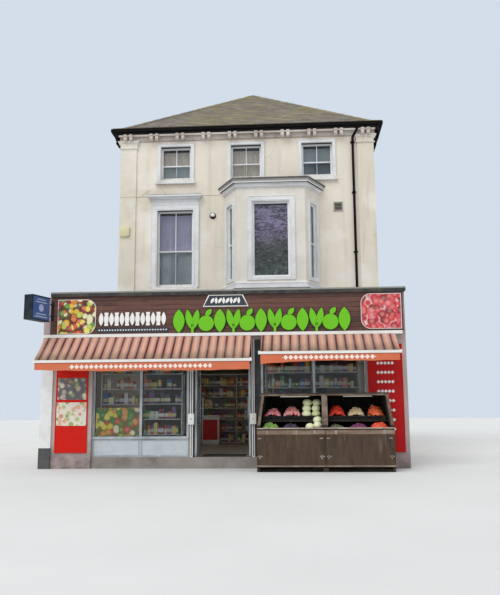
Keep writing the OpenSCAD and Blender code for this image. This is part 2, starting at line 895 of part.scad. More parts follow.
eaves_out = soffit_w + soffit_t;
roof_half_w = house_w / 2 + eaves_out;
roof_half_l = house_d / 2 + eaves_out;
pitch = atan(roof_rise / roof_half_w);

// A hipped solid on the ground plane, the same slope on all four sides
module hipped(half_w, half_l, rise) {
    intersection() {
        translate([0, half_l, 0]) rotate([90, 0, 0]) linear_extrude(height = 2 * half_l)
            polygon([[-half_w, 0], [half_w, 0], [0, rise]]);
        translate([-half_w, 0, 0]) rotate([90, 0, 90]) linear_extrude(height = 2 * half_w)
            polygon([[-half_l, 0], [half_l, 0], [half_l - half_w, rise], [half_w - half_l, rise]]);
    }
}

module house_roof() {
    inset = roof_t / tan(pitch);
    color("#8a8472") translate([house_cx, house_cy, wall_top_z]) difference() {
        hipped(roof_half_w, roof_half_l, roof_rise);
        translate([0, 0, -past]) hipped(roof_half_w - inset + past / tan(pitch),
            roof_half_l - inset + past / tan(pitch), roof_rise - roof_t + past);
    }
}

soffit_drop = 110;
soffit_z = wall_top_z - soffit_drop;
board_z = wall_top_z - eaves_board_h;
module eaves_soffit() {
    color("#d6d0c2") {
        house_ring(soffit_w, 0, soffit_z, soffit_z + soffit_t);
        house_ring(frieze_t, 0, soffit_z - frieze_h, soffit_z);
        house_ring(eaves_out, soffit_w, board_z, wall_top_z);
    }
}

// One bracket: a scroll-like outline in Y and Z, its back on the frieze and its top on the soffit
module bracket() {
    out = soffit_w - frieze_t - 15;
    h = frieze_h - 15;
    translate([-bracket_w / 2, 0, 0]) rotate([90, 0, 90]) linear_extrude(height = bracket_w)
        polygon([[0, 0], [-out, 0], [-out, -0.32 * h], [-0.72 * out, -0.5 * h], [-0.5 * out, -0.86 * h],
            [-0.25 * out, -h], [0, -h]]);
}

// A row of pairs along one side: first one pair at each end, the others evenly between
module bracket_row(length) {
    n = round((length - bracket_pitch / 2) / bracket_pitch);
    step = (length - pilaster_w) / n;
    for (i = [0 : n], s = [-1, 1])
        translate([-length / 2 + pilaster_w / 2 + i * step + s * bracket_gap / 2, 0, 0]) bracket();
}

module eaves_brackets() {
    color("#d6d0c2") translate([house_cx, house_cy, soffit_z]) {
        for (s = [0, 180]) rotate([0, 0, s]) translate([0, -house_d / 2 - frieze_t, 0]) bracket_row(house_w);
        for (s = [90, 270]) rotate([0, 0, s]) translate([0, -house_w / 2 - frieze_t, 0]) bracket_row(house_d);
    }
}

gutter_drop = 70;
gutter_z = wall_top_z - gutter_drop;
module gutters() {
    color("#1e1a1c") difference() {
        house_ring(eaves_out + gutter_w, eaves_out, gutter_z, gutter_z + gutter_w);
        house_ring(eaves_out + gutter_w - gutter_wall, eaves_out + gutter_wall, gutter_z + gutter_wall,
            gutter_z + gutter_w + past);
    }
}

downpipe_side = 140;
downpipe_x = right_x - pilaster_w - downpipe_side;
downpipe_off = 75;
clip_up = 800;
clip_pitch = 1900;
downpipe_clips = [for (i = [0 : 2]) first_floor_z + clip_up + i * clip_pitch];
neck_drop = 320;
clip_h = 45;
clip_side = 25;
module downpipe() {
    r = downpipe_dia / 2;
    wall_y = house_y - downpipe_off;
    gutter_y = house_y - eaves_out - gutter_w / 2;
    neck_z = board_z - downpipe_dia;
    color("#1c1a1b") {
        translate([downpipe_x, wall_y, flat_roof_z])
            cylinder(r = r, h = neck_z - neck_drop - flat_roof_z, $fn = 24);
        hull() {
            translate([downpipe_x, wall_y, neck_z - neck_drop - 1]) cylinder(r = r, h = 1, $fn = 24);
            translate([downpipe_x, gutter_y, neck_z]) cylinder(r = r, h = 1, $fn = 24);
        }
        translate([downpipe_x, gutter_y, neck_z]) cylinder(r = r, h = gutter_z - neck_z, $fn = 24);
        for (z = downpipe_clips)
            block(downpipe_x - r - clip_side, downpipe_x + r + clip_side, wall_y, house_y, z, z + clip_h);
    }
}

capital_h = 120;
capital_drop = 130;
capital_z = soffit_z - frieze_h - capital_h - capital_drop;
capital_out = 30;
module corner_pilasters() {
    top_z = soffit_z - frieze_h;
    color("#dcd8ca") for (x = [house_left, right_x - pilaster_w]) {
        inner = x < 0 ? [0, capital_out] : [capital_out, 0];
        block(x, x + pilaster_w, house_y - relief, house_y, x < 0 ? flat_roof_z : sign_top_z, capital_z);
        block(x - inner[0], x + pilaster_w + inner[1], house_y - relief - capital_out, house_y,
            capital_z, capital_z + capital_h);
        block(x, x + pilaster_w, house_y - relief, house_y, capital_z + capital_h, top_z);
    }
}

// A plain band round the top and sides of an opening
module surround(x, w, z0, z1, band) {
    elevation(house_y - relief, relief) difference() {
        panel(x - w / 2 - band, x + w / 2 + band, z0, z1 + band);
        panel(x - w / 2, x + w / 2, z0 - past, z1);
    }
}

module window_surrounds() {
    color("#e4e6ea") for (x = upper_x) surround(x, upper_w, upper_z, upper_z + upper_h, surround_w);
}

hood_h = 100;
hood_rise = 345;
hood_z = tall_z + tall_h + hood_rise;
hood_out = 230;
hood_over = 100;
module tall_window_surround() {
    half = tall_w / 2 + tall_surround_w;
    head = tall_z + tall_h + tall_surround_w;
    color("#e4e6ea") {
        surround(tall_x, tall_w, tall_z, tall_z + tall_h, tall_surround_w);
        block(tall_x - half + 15, tall_x + half - 15, house_y - relief + 10, house_y, head, hood_z);
        block(tall_x - half - hood_over / 2, tall_x + half + hood_over / 2, house_y - 0.6 * hood_out, house_y,
            hood_z, hood_z + hood_h / 2);
        block(tall_x - half - hood_over, tall_x + half + hood_over, house_y - hood_out, house_y,
            hood_z + hood_h / 2, hood_z + hood_h);
    }
}

// A sill under an opening, its centre at the origin, standing out towards -Y
module sill(w) {
    translate([-w / 2, -sill_out, -sill_h]) cube([w, sill_out, sill_h]);
}

sill_over = 150;
module window_sills() {
    color("#e4e6ea") {
        for (x = upper_x) translate([x, house_y, upper_z]) sill(upper_w + 2 * sill_over);
        translate([tall_x, house_y, tall_z]) sill(tall_w + 2 * tall_surround_w);
        for (y = side_y, z = [upper_z, tall_z]) {
            translate([house_left, y, z]) rotate([0, 0, -90]) sill(upper_w + 2 * sill_over);
            translate([right_x, y, z]) rotate([0, 0, 90]) sill(upper_w + 2 * sill_over);
        }
        for (x = upper_x, z = [upper_z, tall_z])
            translate([x, back_y, z]) rotate([0, 0, 180]) sill(upper_w + 2 * sill_over);
        translate([upper_x[0], back_y, back_win_z]) rotate([0, 0, 180]) sill(upper_w + 2 * sill_over);
    }
}

// Bay window

bay_side_l = norm([bay_half - bay_front_half, bay_d]);
bay_side_turn = atan((bay_half - bay_front_half) / bay_d);

// Plan of the bay, set out by a distance from its faces and run back past the wall's face
module bay_plan(out, back = 0) {
    at_wall = bay_half + out / cos(bay_side_turn);
    at_front = bay_front_half + out * (1 - sin(bay_side_turn)) / cos(bay_side_turn);
    polygon([
        [-at_wall, back],
        [-at_wall, 0],
        [-at_front, -bay_d - out],
        [at_front, -bay_d - out],
        [at_wall, 0],
        [at_wall, back]
    ]);
}

// Puts a piece drawn for the left side face, with X along it from the wall outwards, on both sides
module on_bay_sides() {
    for (m = [0, 1]) mirror([m, 0, 0]) translate([-bay_half, 0, 0]) rotate([0, 0, bay_side_turn - 90])
        children();
}

bay_floor_t = 150;
module bay_walls() {
    color("#dad5c6") translate([bay_cx, house_y, 0]) {
        difference() {
            translate([0, 0, flat_roof_z]) linear_extrude(height = bay_top_z - flat_roof_z) difference() {
                bay_plan(0);
                bay_plan(-bay_wall, past);
            }
            translate([-bay_win_w / 2, -bay_d - past, bay_win_z])
                cube([bay_win_w, bay_wall + 2 * past, bay_win_h]);
            on_bay_sides() translate([bay_side_in - bay_side_w / 2, -past, bay_win_z])
                cube([bay_side_w, bay_wall + 3 * past, bay_win_h]);
        }
        translate([0, 0, first_floor_z - bay_floor_t]) linear_extrude(height = bay_floor_t)
            bay_plan(-bay_wall / 2);
    }
}

bay_band_rise = 450;
bay_band_h = 150;
bay_band_z = first_floor_z + bay_band_rise;
bay_surround_w = 160;
side_surround_w = 90;
bay_surround_t = 35;
cornice_low_h = 90;
cornice_top_h = 110;
cornice_low_out = 70;
cornice_top_out = 150;
module bay_mouldings() {
    head_z = bay_win_z + bay_win_h;
    color("#e4e6ea") translate([bay_cx, house_y, 0]) {
        difference() {
            union() {
                translate([0, 0, bay_band_z]) linear_extrude(height = bay_band_h) bay_plan(cornice_low_out);
                translate([0, 0, bay_band_z - 40]) linear_extrude(height = 41) bay_plan(bay_surround_t);
            }
            linear_extrude(height = wall_top_z) bay_plan(seat_gap, past);
        }
        translate([0, 0, bay_top_z]) linear_extrude(height = cornice_low_h) bay_plan(cornice_low_out);
        translate([0, 0, bay_top_z + cornice_low_h]) linear_extrude(height = cornice_top_h)
            bay_plan(cornice_top_out);
        translate([0, -bay_d, 0]) elevation(-bay_surround_t, bay_surround_t) difference() {
            panel(-bay_win_w / 2 - bay_surround_w, bay_win_w / 2 + bay_surround_w,
                bay_win_z - side_surround_w, head_z + bay_surround_w);
            panel(-bay_win_w / 2, bay_win_w / 2, bay_win_z, head_z);
        }
        on_bay_sides() translate([bay_side_in, -seat_gap, 0]) elevation(-bay_surround_t, bay_surround_t)
            difference() {
                panel(-bay_side_w / 2 - side_surround_w, bay_side_w / 2 + side_surround_w,
                    bay_win_z - side_surround_w, head_z + side_surround_w);
                panel(-bay_side_w / 2, bay_side_w / 2, bay_win_z, head_z);
            }
    }
}

bay_roof_z = bay_top_z + cornice_low_h + cornice_top_h;
bay_roof_rise = 170;
bay_roof_edge = 30;
bay_roof_back = 60;
module bay_roof() {
    color("#4b4a4c") translate([bay_cx, house_y, bay_roof_z]) hull() {
        linear_extrude(height = bay_roof_edge) bay_plan(cornice_top_out + bay_roof_edge);
        translate([-bay_front_half, -bay_roof_back, 0])
            cube([2 * bay_front_half, bay_roof_back, bay_roof_rise]);
    }
}

// Outline of a window frame, its bottom middle at the origin, with a meeting rail if rail is above 0
module sash_outline(w, h, rail) {
    difference() {
        panel(-w / 2, w / 2, 0, h);
        difference() {
            panel(-w / 2 + stile, w / 2 - stile, stile, h - stile);
            if (rail > 0) panel(-w / 2, w / 2, rail - meeting_h / 2, rail + meeting_h / 2);
        }
    }
}

// A window frame in a wall whose outer face is at y = 0
module sash(w, h, rail) {
    elevation(reveal, sash_d) sash_outline(w, h, rail);
}

// The panes of a frame, one to a light, from y inwards
module sash_panes(w, h, rail, y) {
    half = meeting_h / 2;
    lights = rail > 0 ? [[stile, rail - half], [rail + half, h - stile]] : [[stile, h - stile]];
    for (m = lights) block(-w / 2 + stile, w / 2 - stile, y, y + glass_t, m[0], m[1]);
}

// Every sash window outside the bay: where it is, how it turns, its width, height and meeting rail
windows = concat(
    [for (x = upper_x) [[x, house_y, upper_z], 0, upper_w, upper_h, upper_meeting_h]],
    [[[tall_x, house_y, tall_z], 0, tall_w, tall_h, tall_meeting_h]],
    [for (y = side_y, s = [[upper_z, upper_h], [tall_z, side_h]])
        [[house_left, y, s[0]], -90, upper_w, s[1], s[1] / 2]],
    [for (y = side_y, s = [[upper_z, upper_h], [tall_z, side_h]])
        [[right_x, y, s[0]], 90, upper_w, s[1], s[1] / 2]],
    [for (x = upper_x, s = [[upper_z, upper_h], [tall_z, side_h]])
        [[x, back_y, s[0]], 180, upper_w, s[1], s[1] / 2]],
    [[[upper_x[0], back_y, back_win_z], 180, upper_w, back_win_h, back_win_h / 2]]
);

module sash_windows() {
    color("#eef0f2") for (w = windows) translate(w[0]) rotate([0, 0, w[1]]) sash(w[2], w[3], w[4]);
}

bay_sash_back = 40;
bay_sash_d = 70;
side_sash_w = bay_side_w - 2 * seat_gap;
side_sash_h = bay_win_h - 2 * seat_gap;

// Puts the first child in the bay's front window opening and the second in each side opening
module bay_places() {
    translate([bay_cx, house_y - bay_d, bay_win_z]) children(0);
    translate([bay_cx, house_y, bay_win_z]) on_bay_sides() translate([bay_side_in, 0, seat_gap])
        children(1);
}

module bay_sashes() {
    color("#eef0f2") bay_places() {
        elevation(bay_sash_back, bay_sash_d) sash_outline(bay_win_w, bay_win_h, 0);
        elevation(bay_sash_back, bay_sash_d) sash_outline(side_sash_w, side_sash_h, bay_meeting_h);
    }
}

module window_glass() {
    y = reveal + (sash_d - glass_t) / 2;
    bay_y = bay_sash_back + (bay_sash_d - glass_t) / 2;
    color("#8fa0a8", 0.4) {
        for (w = windows) translate(w[0]) rotate([0, 0, w[1]]) sash_panes(w[2], w[3], w[4], y);
        bay_places() {
            sash_panes(bay_win_w, bay_win_h, 0, bay_y);
            sash_panes(side_sash_w, side_sash_h, bay_meeting_h, bay_y);
        }
    }
}

// Small fittings on the front

vent_side = 290;
vent_h = 310;
vent_t = 20;
vent_drop = 450;
vent_side_off = 630;
vent_z = second_floor_z - vent_drop;
vent_x = downpipe_x - vent_side_off;
module wall_vent() {
    color("#8f8c86")
        block(vent_x, vent_x + vent_side, house_y - vent_t, house_y, vent_z, vent_z + vent_h);
}

lamp_r = 100;
lamp_t = 90;
lamp_drop = 490;
lamp_z = second_floor_z - lamp_drop;
lamp_off = 1160;
module wall_lamp() {
    color("#f0f0f0") translate([tall_x + lamp_off, house_y, lamp_z]) rotate([90, 0, 0])
        cylinder(r = lamp_r, h = lamp_t, $fn = 32);
}

alarm_off = 40;
alarm_w = 290;
alarm_up = 2240;
alarm_z = first_floor_z + alarm_up;
alarm_h = 310;
alarm_t = 70;
module alarm_box() {
    x = house_left + alarm_off;
    y = house_y - relief;
    color("#d9d2b8") block(x, x + alarm_w, y - alarm_t, y, alarm_z, alarm_z + alarm_h);
}

ground_floor();
shop_left_wall();
shop_right_wall();
shop_front_beam();
shop_flat_roof();
end_pilaster();
left_pier_board();
right_pier_board();
signboard();
lead_coping();
projecting_sign();
shop_window_frames();
stall_risers();
shop_glass();
door_frame();
left_door();
left_door_glass();
right_door();
right_door_glass();
shutter_guides();
awning_rail();
left_awning();
right_awning();
awning_bars();
awning_arms();
produce_stand();
produce_shelves();
produce_trays();
left_flap();
right_flap();
goods_shelving();
chest_cabinet();
house_front_wall();
house_left_wall();
house_right_wall();
house_back_wall();
upper_floors();
house_roof();
eaves_soffit();
eaves_brackets();
gutters();
downpipe();
corner_pilasters();
window_surrounds();
tall_window_surround();
window_sills();
bay_walls();
bay_mouldings();
bay_roof();
bay_sashes();
sash_windows();
window_glass();
back_door();
wall_vent();
wall_lamp();
alarm_box();
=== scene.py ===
"""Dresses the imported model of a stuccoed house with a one-storey shop built out in front of it.

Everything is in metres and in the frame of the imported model: +Z is up, X runs along the street
front and +Y runs into the building. Each part of the building is a class whose fields are its
sizes and whose methods make its pieces. Each finish is a frozen dataclass that fills a node graph.
"""

from __future__ import annotations

import logging
import math
import random
from collections.abc import Callable, Sequence
from dataclasses import dataclass
from enum import Enum
from functools import cached_property, reduce

import bmesh
import bpy
from mathutils import Matrix, Vector

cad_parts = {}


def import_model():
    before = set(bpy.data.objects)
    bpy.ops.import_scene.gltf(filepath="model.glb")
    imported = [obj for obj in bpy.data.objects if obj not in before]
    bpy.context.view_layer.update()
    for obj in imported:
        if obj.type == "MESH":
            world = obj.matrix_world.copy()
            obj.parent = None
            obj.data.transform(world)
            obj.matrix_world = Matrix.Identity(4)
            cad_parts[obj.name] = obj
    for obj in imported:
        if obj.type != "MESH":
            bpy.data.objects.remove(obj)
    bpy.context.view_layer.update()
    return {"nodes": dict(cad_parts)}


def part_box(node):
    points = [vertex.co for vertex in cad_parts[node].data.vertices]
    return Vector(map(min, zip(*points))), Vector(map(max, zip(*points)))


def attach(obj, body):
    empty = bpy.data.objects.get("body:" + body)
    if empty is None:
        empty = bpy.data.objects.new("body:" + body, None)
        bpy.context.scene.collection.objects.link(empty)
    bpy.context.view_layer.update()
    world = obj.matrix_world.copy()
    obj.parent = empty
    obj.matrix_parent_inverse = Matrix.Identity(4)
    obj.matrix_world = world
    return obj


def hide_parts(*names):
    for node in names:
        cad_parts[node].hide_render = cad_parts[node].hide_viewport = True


LOG = logging.getLogger("shop_building")

Span = tuple[float, float]
Point = tuple[float, float, float]
Block = tuple[Span, Span, Span]
Socket = bpy.types.NodeSocket
Value = float | str | Point | Socket

HOUSE_Y = -2.1
HOUSE_LEFT = -3.65
HOUSE_CENTRE = (0.275, 2.3)
HOUSE_HALF = (3.925, 4.4)
BACK_Y = 6.7
RIGHT_X = 4.2
FRONT_Y = -6.7
SIGN_Y = -6.8
FLOOR_Z = 0.25
NOWHERE = -9.0
HERE = Matrix()


class Body(Enum):
    """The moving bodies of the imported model."""

    BUILDING = "building"
    LEFT_LEAF = "left_leaf"
    RIGHT_LEAF = "right_leaf"
    LEFT_FLAP = "left_stand_flap"
    RIGHT_FLAP = "right_stand_flap"


# Node graphs


def tint(colour: str) -> Point:
    """Turns a colour written as six hexadecimal digits into linear red, green and blue."""
    parts = [int(colour[i:i + 2], 16) / 255 for i in (1, 3, 5)]
    return tuple(p / 12.92 if p <= 0.04045 else ((p + 0.055) / 1.055) ** 2.4 for p in parts)


class Graph:
    """The node tree of one material, built up to its Principled shader."""

    def __init__(self, name: str) -> None:
        """Starts a material.

        Args:
            name: The material's name.
        """
        self.material = bpy.data.materials.new(name)
        self.material.use_nodes = True
        self.tree = self.material.node_tree
        self.shader = self.tree.nodes["Principled BSDF"]
        self.place = self.node("TexCoord").outputs["Object"]
        self.relief: dict[str, Socket] = {}

    def put(self, value: Value, socket: Socket) -> None:
        """Links a value to a socket, or sets it there.

        Args:
            value: A socket, a number, a point or a colour's digits.
            socket: The input that takes it.
        """
        if isinstance(value, bpy.types.NodeSocket):
            self.tree.links.new(value, socket)
        else:
            socket.default_value = (*tint(value), 1.0) if isinstance(value, str) else value

    def feed(self, made: bpy.types.Node, values: Sequence[Value]) -> Socket:
        """Gives a node's inputs that are in use their values.

        Args:
            made: The node.
            values: The values, in the order of the inputs.

        Returns:
            The node's first output that is in use.
        """
        for socket, value in zip((socket for socket in made.inputs if socket.enabled), values):
            self.put(value, socket)
        return next(socket for socket in made.outputs if socket.enabled)

    def node(self, kind: str, **values: Value) -> bpy.types.Node:
        """Adds a node.

        Args:
            kind: Its type, without the prefix that all shader nodes have.
            **values: Its settings, and its inputs by their names in small letters.

        Returns:
            The node.
        """
        made = self.tree.nodes.new("ShaderNode" + kind)
        for key, value in values.items():
            title = key.replace("_", " ").title()
            if title in made.inputs:
                self.put(value, made.inputs[title])
            else:
                setattr(made, key, value)
        return made

    def stretch(self, scale: Point, turn: Point = (0.0, 0.0, 0.0)) -> Socket:
        """Returns the object's coordinates, scaled and turned."""
        return self.node("Mapping", vector=self.place, scale=scale, rotation=turn).outputs[0]

    def axis(self, name: str) -> Socket:
        """Returns one of the object's coordinates, by the letter X, Y or Z."""
        return self.node("SeparateXYZ", vector=self.place).outputs[name]

    def chance(self) -> Socket:
        """Returns a random number for each separate solid of the piece."""
        return self.node("NewGeometry").outputs["Random Per Island"]

    def noise(self, scale: float, detail: float = 4.0, where: Socket | None = None,
              roughness: float = 0.55, distortion: float = 0.0) -> Socket:
        """Returns cloudy noise, mostly between 0.3 and 0.7, with a number of clouds in a metre."""
        return self.node("TexNoise", vector=where or self.place, scale=scale, detail=detail,
                         roughness=roughness, distortion=distortion).outputs["Fac"]

    def cells(self, scale: float, where: Socket, feature: str = "F1") -> bpy.types.Node:
        """Returns a pattern with a number of cells in a metre, with the outputs Distance and Color."""
        return self.node("TexVoronoi", vector=where, feature=feature, scale=scale)

    def weave(self, axis: str) -> Socket:
        """Returns the fine threads of a cloth across an axis."""
        return self.node("TexWave", vector=self.place, scale=95.0, bands_direction=axis).outputs["Fac"]

    def ramp(self, value: Socket, *stops: tuple[float, float | str], step: bool = False) -> Socket:
        """Turns a number into a colour or another number.

        Args:
            value: The number.
            *stops: Places from 0 to 1, each with a colour's digits or a number.
            step: Whether the colours change at once.

        Returns:
            The colour.
        """
        made = self.node("ValToRGB")
        band = made.color_ramp
        band.interpolation = "CONSTANT" if step else "LINEAR"
        while len(band.elements) < len(stops):
            band.elements.new(1.0)
        for element, (place, colour) in zip(band.elements, stops):
            element.position = place
            element.color = (*(tint(colour) if isinstance(colour, str) else [colour] * 3), 1.0)
        return self.feed(made, [value])

    def fade(self, value: Socket, start: float, end: float, most: float = 1.0) -> Socket:
        """Turns a number into 0 up to start and into the most from end on."""
        return self.ramp(value, (start, 0.0), (end, most))

    def pick(self, number: Socket, colours: Sequence[str]) -> Socket:
        """Returns one of the colours, each for the same share of a number from 0 to 1."""
        return self.ramp(number, *((i / len(colours), colour) for i, colour in enumerate(colours)), step=True)

    def mix(self, share: Value, first: Value, second: Value, kind: str = "MIX") -> Socket:
        """Mixes a share of the second colour into the first one."""
        return self.feed(self.node("Mix", data_type="RGBA", blend_type=kind), (share, first, second))

    def veil(self, under: Value, over: str, where: Socket, start: float, end: float, most: float) -> Socket:
        """Lays a colour over another, from none where a number is at start to the most at end."""
        return self.mix(self.fade(where, start, end, most), under, over)

    def sum(self, operation: str, *numbers: Value) -> Socket:
        """Works out a number from others by the name of an operation."""
        return self.feed(self.node("Math", operation=operation), numbers)

    def times(self, *numbers: Value) -> Socket:
        """Multiplies numbers."""
        return reduce(lambda first, second: self.sum("MULTIPLY", first, second), numbers)

    def above(self, value: Socket, limit: float) -> Socket:
        """Returns 1 where a number is above a limit, and 0 elsewhere."""
        return self.sum("GREATER_THAN", value, limit)

    def below(self, value: Socket, limit: float) -> Socket:
        """Returns 1 where a number is below a limit, and 0 elsewhere."""
        return self.sum("LESS_THAN", value, limit)

    def off(self, value: Socket, middle: float) -> Socket:
        """Returns how far a number is from a middle."""
        return self.sum("ABSOLUTE", self.sum("SUBTRACT", value, middle))

    def repeat(self, value: Socket, pitch: float) -> Socket:
        """Turns a number into one that runs from 0 to 1 again and again."""
        return self.sum("FRACT", self.sum("DIVIDE", value, pitch))

    def band(self, value: Socket, start: float, end: float) -> Socket:
        """Turns a number into 1 at start and 0 at end, straight between them."""
        return self.feed(self.node("MapRange"), (value, start, end, 1.0, 0.0))

    def bump(self, height: Socket, depth: float) -> None:
        """Adds relief to the surface, over any that it has, with a depth in metres where the height is 1."""
        made = self.node("Bump", height=height, distance=depth, **self.relief)
        self.relief = {"normal": made.outputs[0]}

    def close(self, colour: Value, roughness: Value, **others: Value) -> None:
        """Joins the surface's colour, roughness and relief, and any other inputs, to the shader."""
        for key, value in {"base_color": colour, "roughness": roughness, **others, **self.relief}.items():
            self.put(value, self.shader.inputs[key.replace("_", " ").title().replace("Ior", "IOR")])


# Finishes


@dataclass(frozen=True)
class Finish:
    """What a surface is made of."""

    name: str

    @cached_property
    def graph(self) -> Graph:
        """Returns the graph of the finish's material."""
        return Graph(self.name + "_finish")

    def fill(self) -> None:
        """Fills the graph."""
        raise NotImplementedError

    def material(self) -> bpy.types.Material:
        """Returns the finish's material, which is filled once."""
        if not self.graph.shader.inputs["Base Color"].is_linked:
            self.fill()
        return self.graph.material


@dataclass(frozen=True)
class Stucco(Finish):
    """Painted render with pale mottling, runs of dirt, hairline cracks and a grimy foot, and, where board is set,
    painted near-black shade under the eaves and beyond the side walls.
    """

    colour: str
    stain: str = "#b9ab93"
    dirt: str = "#7d7466"
    runs: float = 0.35
    foot: float = NOWHERE
    foot_h: float = 0.5
    cracks: float = 0.55
    pale: float = 0.5
    board: float = 0.0
    board_z: float = 9.785

    def fill(self) -> None:
        """Fills the graph."""
        graph, height = self.graph, self.graph.axis("Z")
        cloud = graph.noise(0.5, 7.0, distortion=0.3)
        colour = graph.veil(self.colour, self.stain, cloud, 0.44, 0.74, 0.4)
        run = graph.noise(1.6, 6.0, graph.stretch((2.6, 2.6, 0.22)))
        colour = graph.veil(colour, self.dirt, run, 0.54, 0.8, self.runs)
        colour = graph.veil(colour, "#f4efe8", graph.noise(1.1, 5.0), 0.5, 0.62, self.pale)
        bent = graph.mix(0.06, graph.place, graph.node("TexNoise", vector=graph.place, scale=2.5).outputs["Color"])
        edge = graph.cells(0.55, bent, "DISTANCE_TO_EDGE").outputs["Distance"]
        crack = graph.times(graph.ramp(edge, (0.0, 1.0), (0.006, 0.0)),
                            graph.fade(graph.noise(0.9), 0.5, 0.6, self.cracks))
        colour = graph.mix(crack, colour, self.dirt)
        # Painted shade: with board set, the eaves beyond that distance out and above board_z, and everything beyond the
        # side walls, are painted near-black for the shade under the eaves.
        if self.board:
            sides = [graph.sum("SUBTRACT", graph.off(graph.axis(name), middle), half)
                     for name, middle, half in zip("XY", HOUSE_CENTRE, HOUSE_HALF)]
            black = graph.times(graph.above(graph.sum("MAXIMUM", *sides), self.board),
                                graph.above(height, self.board_z))
            colour = graph.mix(graph.sum("MAXIMUM", black, graph.above(sides[0], 0.045)), colour, "#141111")
        if self.foot > NOWHERE:
            grime = graph.times(graph.band(height, self.foot, self.foot + self.foot_h),
                                graph.above(height, self.foot - 0.02),
                                graph.below(graph.axis("Y"), HOUSE_Y + 0.15))
            grime = graph.times(graph.sum("MAXIMUM", grime, graph.band(height, 0.0, 0.45)),
                                graph.ramp(graph.noise(3.0, 5.0), (0.3, 0.1), (0.65, 1.0)))
            colour = graph.mix(grime, colour, self.dirt)
        graph.bump(graph.noise(42.0, 3.0), 0.004)
        graph.bump(graph.noise(3.0, 2.0), 0.012)
        graph.close(colour, graph.ramp(cloud, (0.3, 0.95), (0.7, 0.78)))


@dataclass(frozen=True)
class Paint(Finish):
    """Paint on timber, plaster or metal, dirty in places and worn through to what is under it."""

    colour: str
    under: str = "#8f8474"
    wear: float = 0.0
    dirt: float = 0.2
    roughness: float = 0.4
    grain: Point = (14.0, 14.0, 14.0)
    relief: float = 0.001
    split: float = NOWHERE
    below: str = "#4c4a48"
    shine: float = 0.4

    def fill(self) -> None:
        """Fills the graph."""
        graph, cloud = self.graph, self.graph.noise(1.7, 6.0)
        colour: Value = self.colour
        if self.split > NOWHERE:
            colour = graph.mix(graph.below(graph.axis("Z"), self.split), colour, self.below)
        colour = graph.veil(colour, "#77705f", cloud, 0.46, 0.78, self.dirt)
        colour = graph.veil(colour, "#938b7b", graph.noise(9.0, 4.0), 0.45, 0.75, self.dirt * 0.5)
        graph.bump(graph.noise(1.0, 3.0, graph.stretch(self.grain)), self.relief)
        if self.wear:
            start = 0.74 - 0.26 * self.wear
            gone = graph.fade(graph.noise(7.0, 9.0, roughness=0.7), start, start + 0.02)
            colour = graph.mix(gone, colour, self.under)
            graph.bump(graph.sum("SUBTRACT", 1.0, gone), 0.0015)
        graph.close(colour, graph.ramp(cloud, (0.3, self.roughness), (0.75, min(1.0, self.roughness + 0.25))),
                    specular_ior_level=self.shine)


@dataclass(frozen=True)
class Glow(Finish):
    """A diffuser that gives some light of its own, dustier in places."""

    strength: float

    def fill(self) -> None:
        """Fills the graph."""
        dust = self.graph.ramp(self.graph.noise(3.0, 5.0), (0.3, "#fff8ec"), (0.75, "#f0e2c8"))
        self.graph.close(dust, 0.4, emission_color=dust, emission_strength=self.strength)


@dataclass(frozen=True)
class Metal(Finish):
    """Bare or anodised metal with fine lines, dull patches and water marks."""

    colour: str
    dull: str
    roughness: float
    metallic: float = 0.9

    def fill(self) -> None:
        """Fills the graph."""
        graph, cloud = self.graph, self.graph.noise(2.2, 7.0)
        mark = graph.noise(3.0, 5.0, graph.stretch((3.0, 3.0, 0.35)))
        colour = graph.veil(self.colour, self.dull, cloud, 0.4, 0.7, 0.6)
        colour = graph.veil(colour, self.dull, mark, 0.5, 0.75, 0.45)
        graph.bump(graph.noise(6.0, 2.0, graph.stretch((1.0, 1.0, 60.0))), 0.0006)
        graph.close(colour, graph.ramp(cloud, (0.3, self.roughness), (0.7, self.roughness + 0.3)),
                    metallic=self.metallic)


@dataclass(frozen=True)
class SlateCover(Finish):
    """Old slates, each of its own grey or brown, under yellow and green lichen."""

    lichen: float = 1.0

    def fill(self) -> None:
        """Fills the graph."""
        graph, patch = self.graph, self.graph.noise(0.45, 5.0, roughness=0.65)
        speck = graph.noise(7.0, 8.0, roughness=0.75)
        stone = graph.ramp(graph.chance(), (0.0, "#6f6765"), (0.3, "#8a8078"), (0.55, "#7c7273"),
                           (0.8, "#9a8f80"), (1.0, "#686160"))
        colour = graph.veil(stone, "#a49a88", graph.noise(11.0, 6.0), 0.35, 0.7, 0.4)
        gold = graph.times(graph.fade(speck, 0.47, 0.57, 0.8 * self.lichen),
                           graph.ramp(patch, (0.42, 0.1), (0.58, 1.0)))
        moss = graph.times(graph.fade(graph.noise(8.0, 6.0), 0.52, 0.62, 0.65 * self.lichen),
                           graph.ramp(patch, (0.3, 1.0), (0.55, 0.15)))
        colour = graph.mix(moss, graph.mix(gold, colour, "#9d9150"), "#73774d")
        graph.bump(graph.noise(30.0, 5.0), 0.003)
        graph.close(colour, graph.ramp(speck, (0.35, 0.6), (0.65, 0.9)))


@dataclass(frozen=True)
class Lead(Finish):
    """Weathered sheet lead, dark, with pale runs."""

    colour: str = "#54565b"
    pale: str = "#8c8f92"

    def fill(self) -> None:
        """Fills the graph."""
        graph, cloud = self.graph, self.graph.noise(1.5, 7.0)
        run = graph.noise(2.0, 5.0, graph.stretch((3.5, 3.5, 0.5)))
        colour = graph.veil(self.colour, "#3b3c40", cloud, 0.42, 0.7, 0.6)
        colour = graph.veil(colour, self.pale, run, 0.5, 0.72, 0.55)
        graph.bump(graph.noise(4.0, 3.0), 0.01)
        graph.close(colour, graph.ramp(cloud, (0.3, 0.5), (0.7, 0.75)), metallic=0.25)


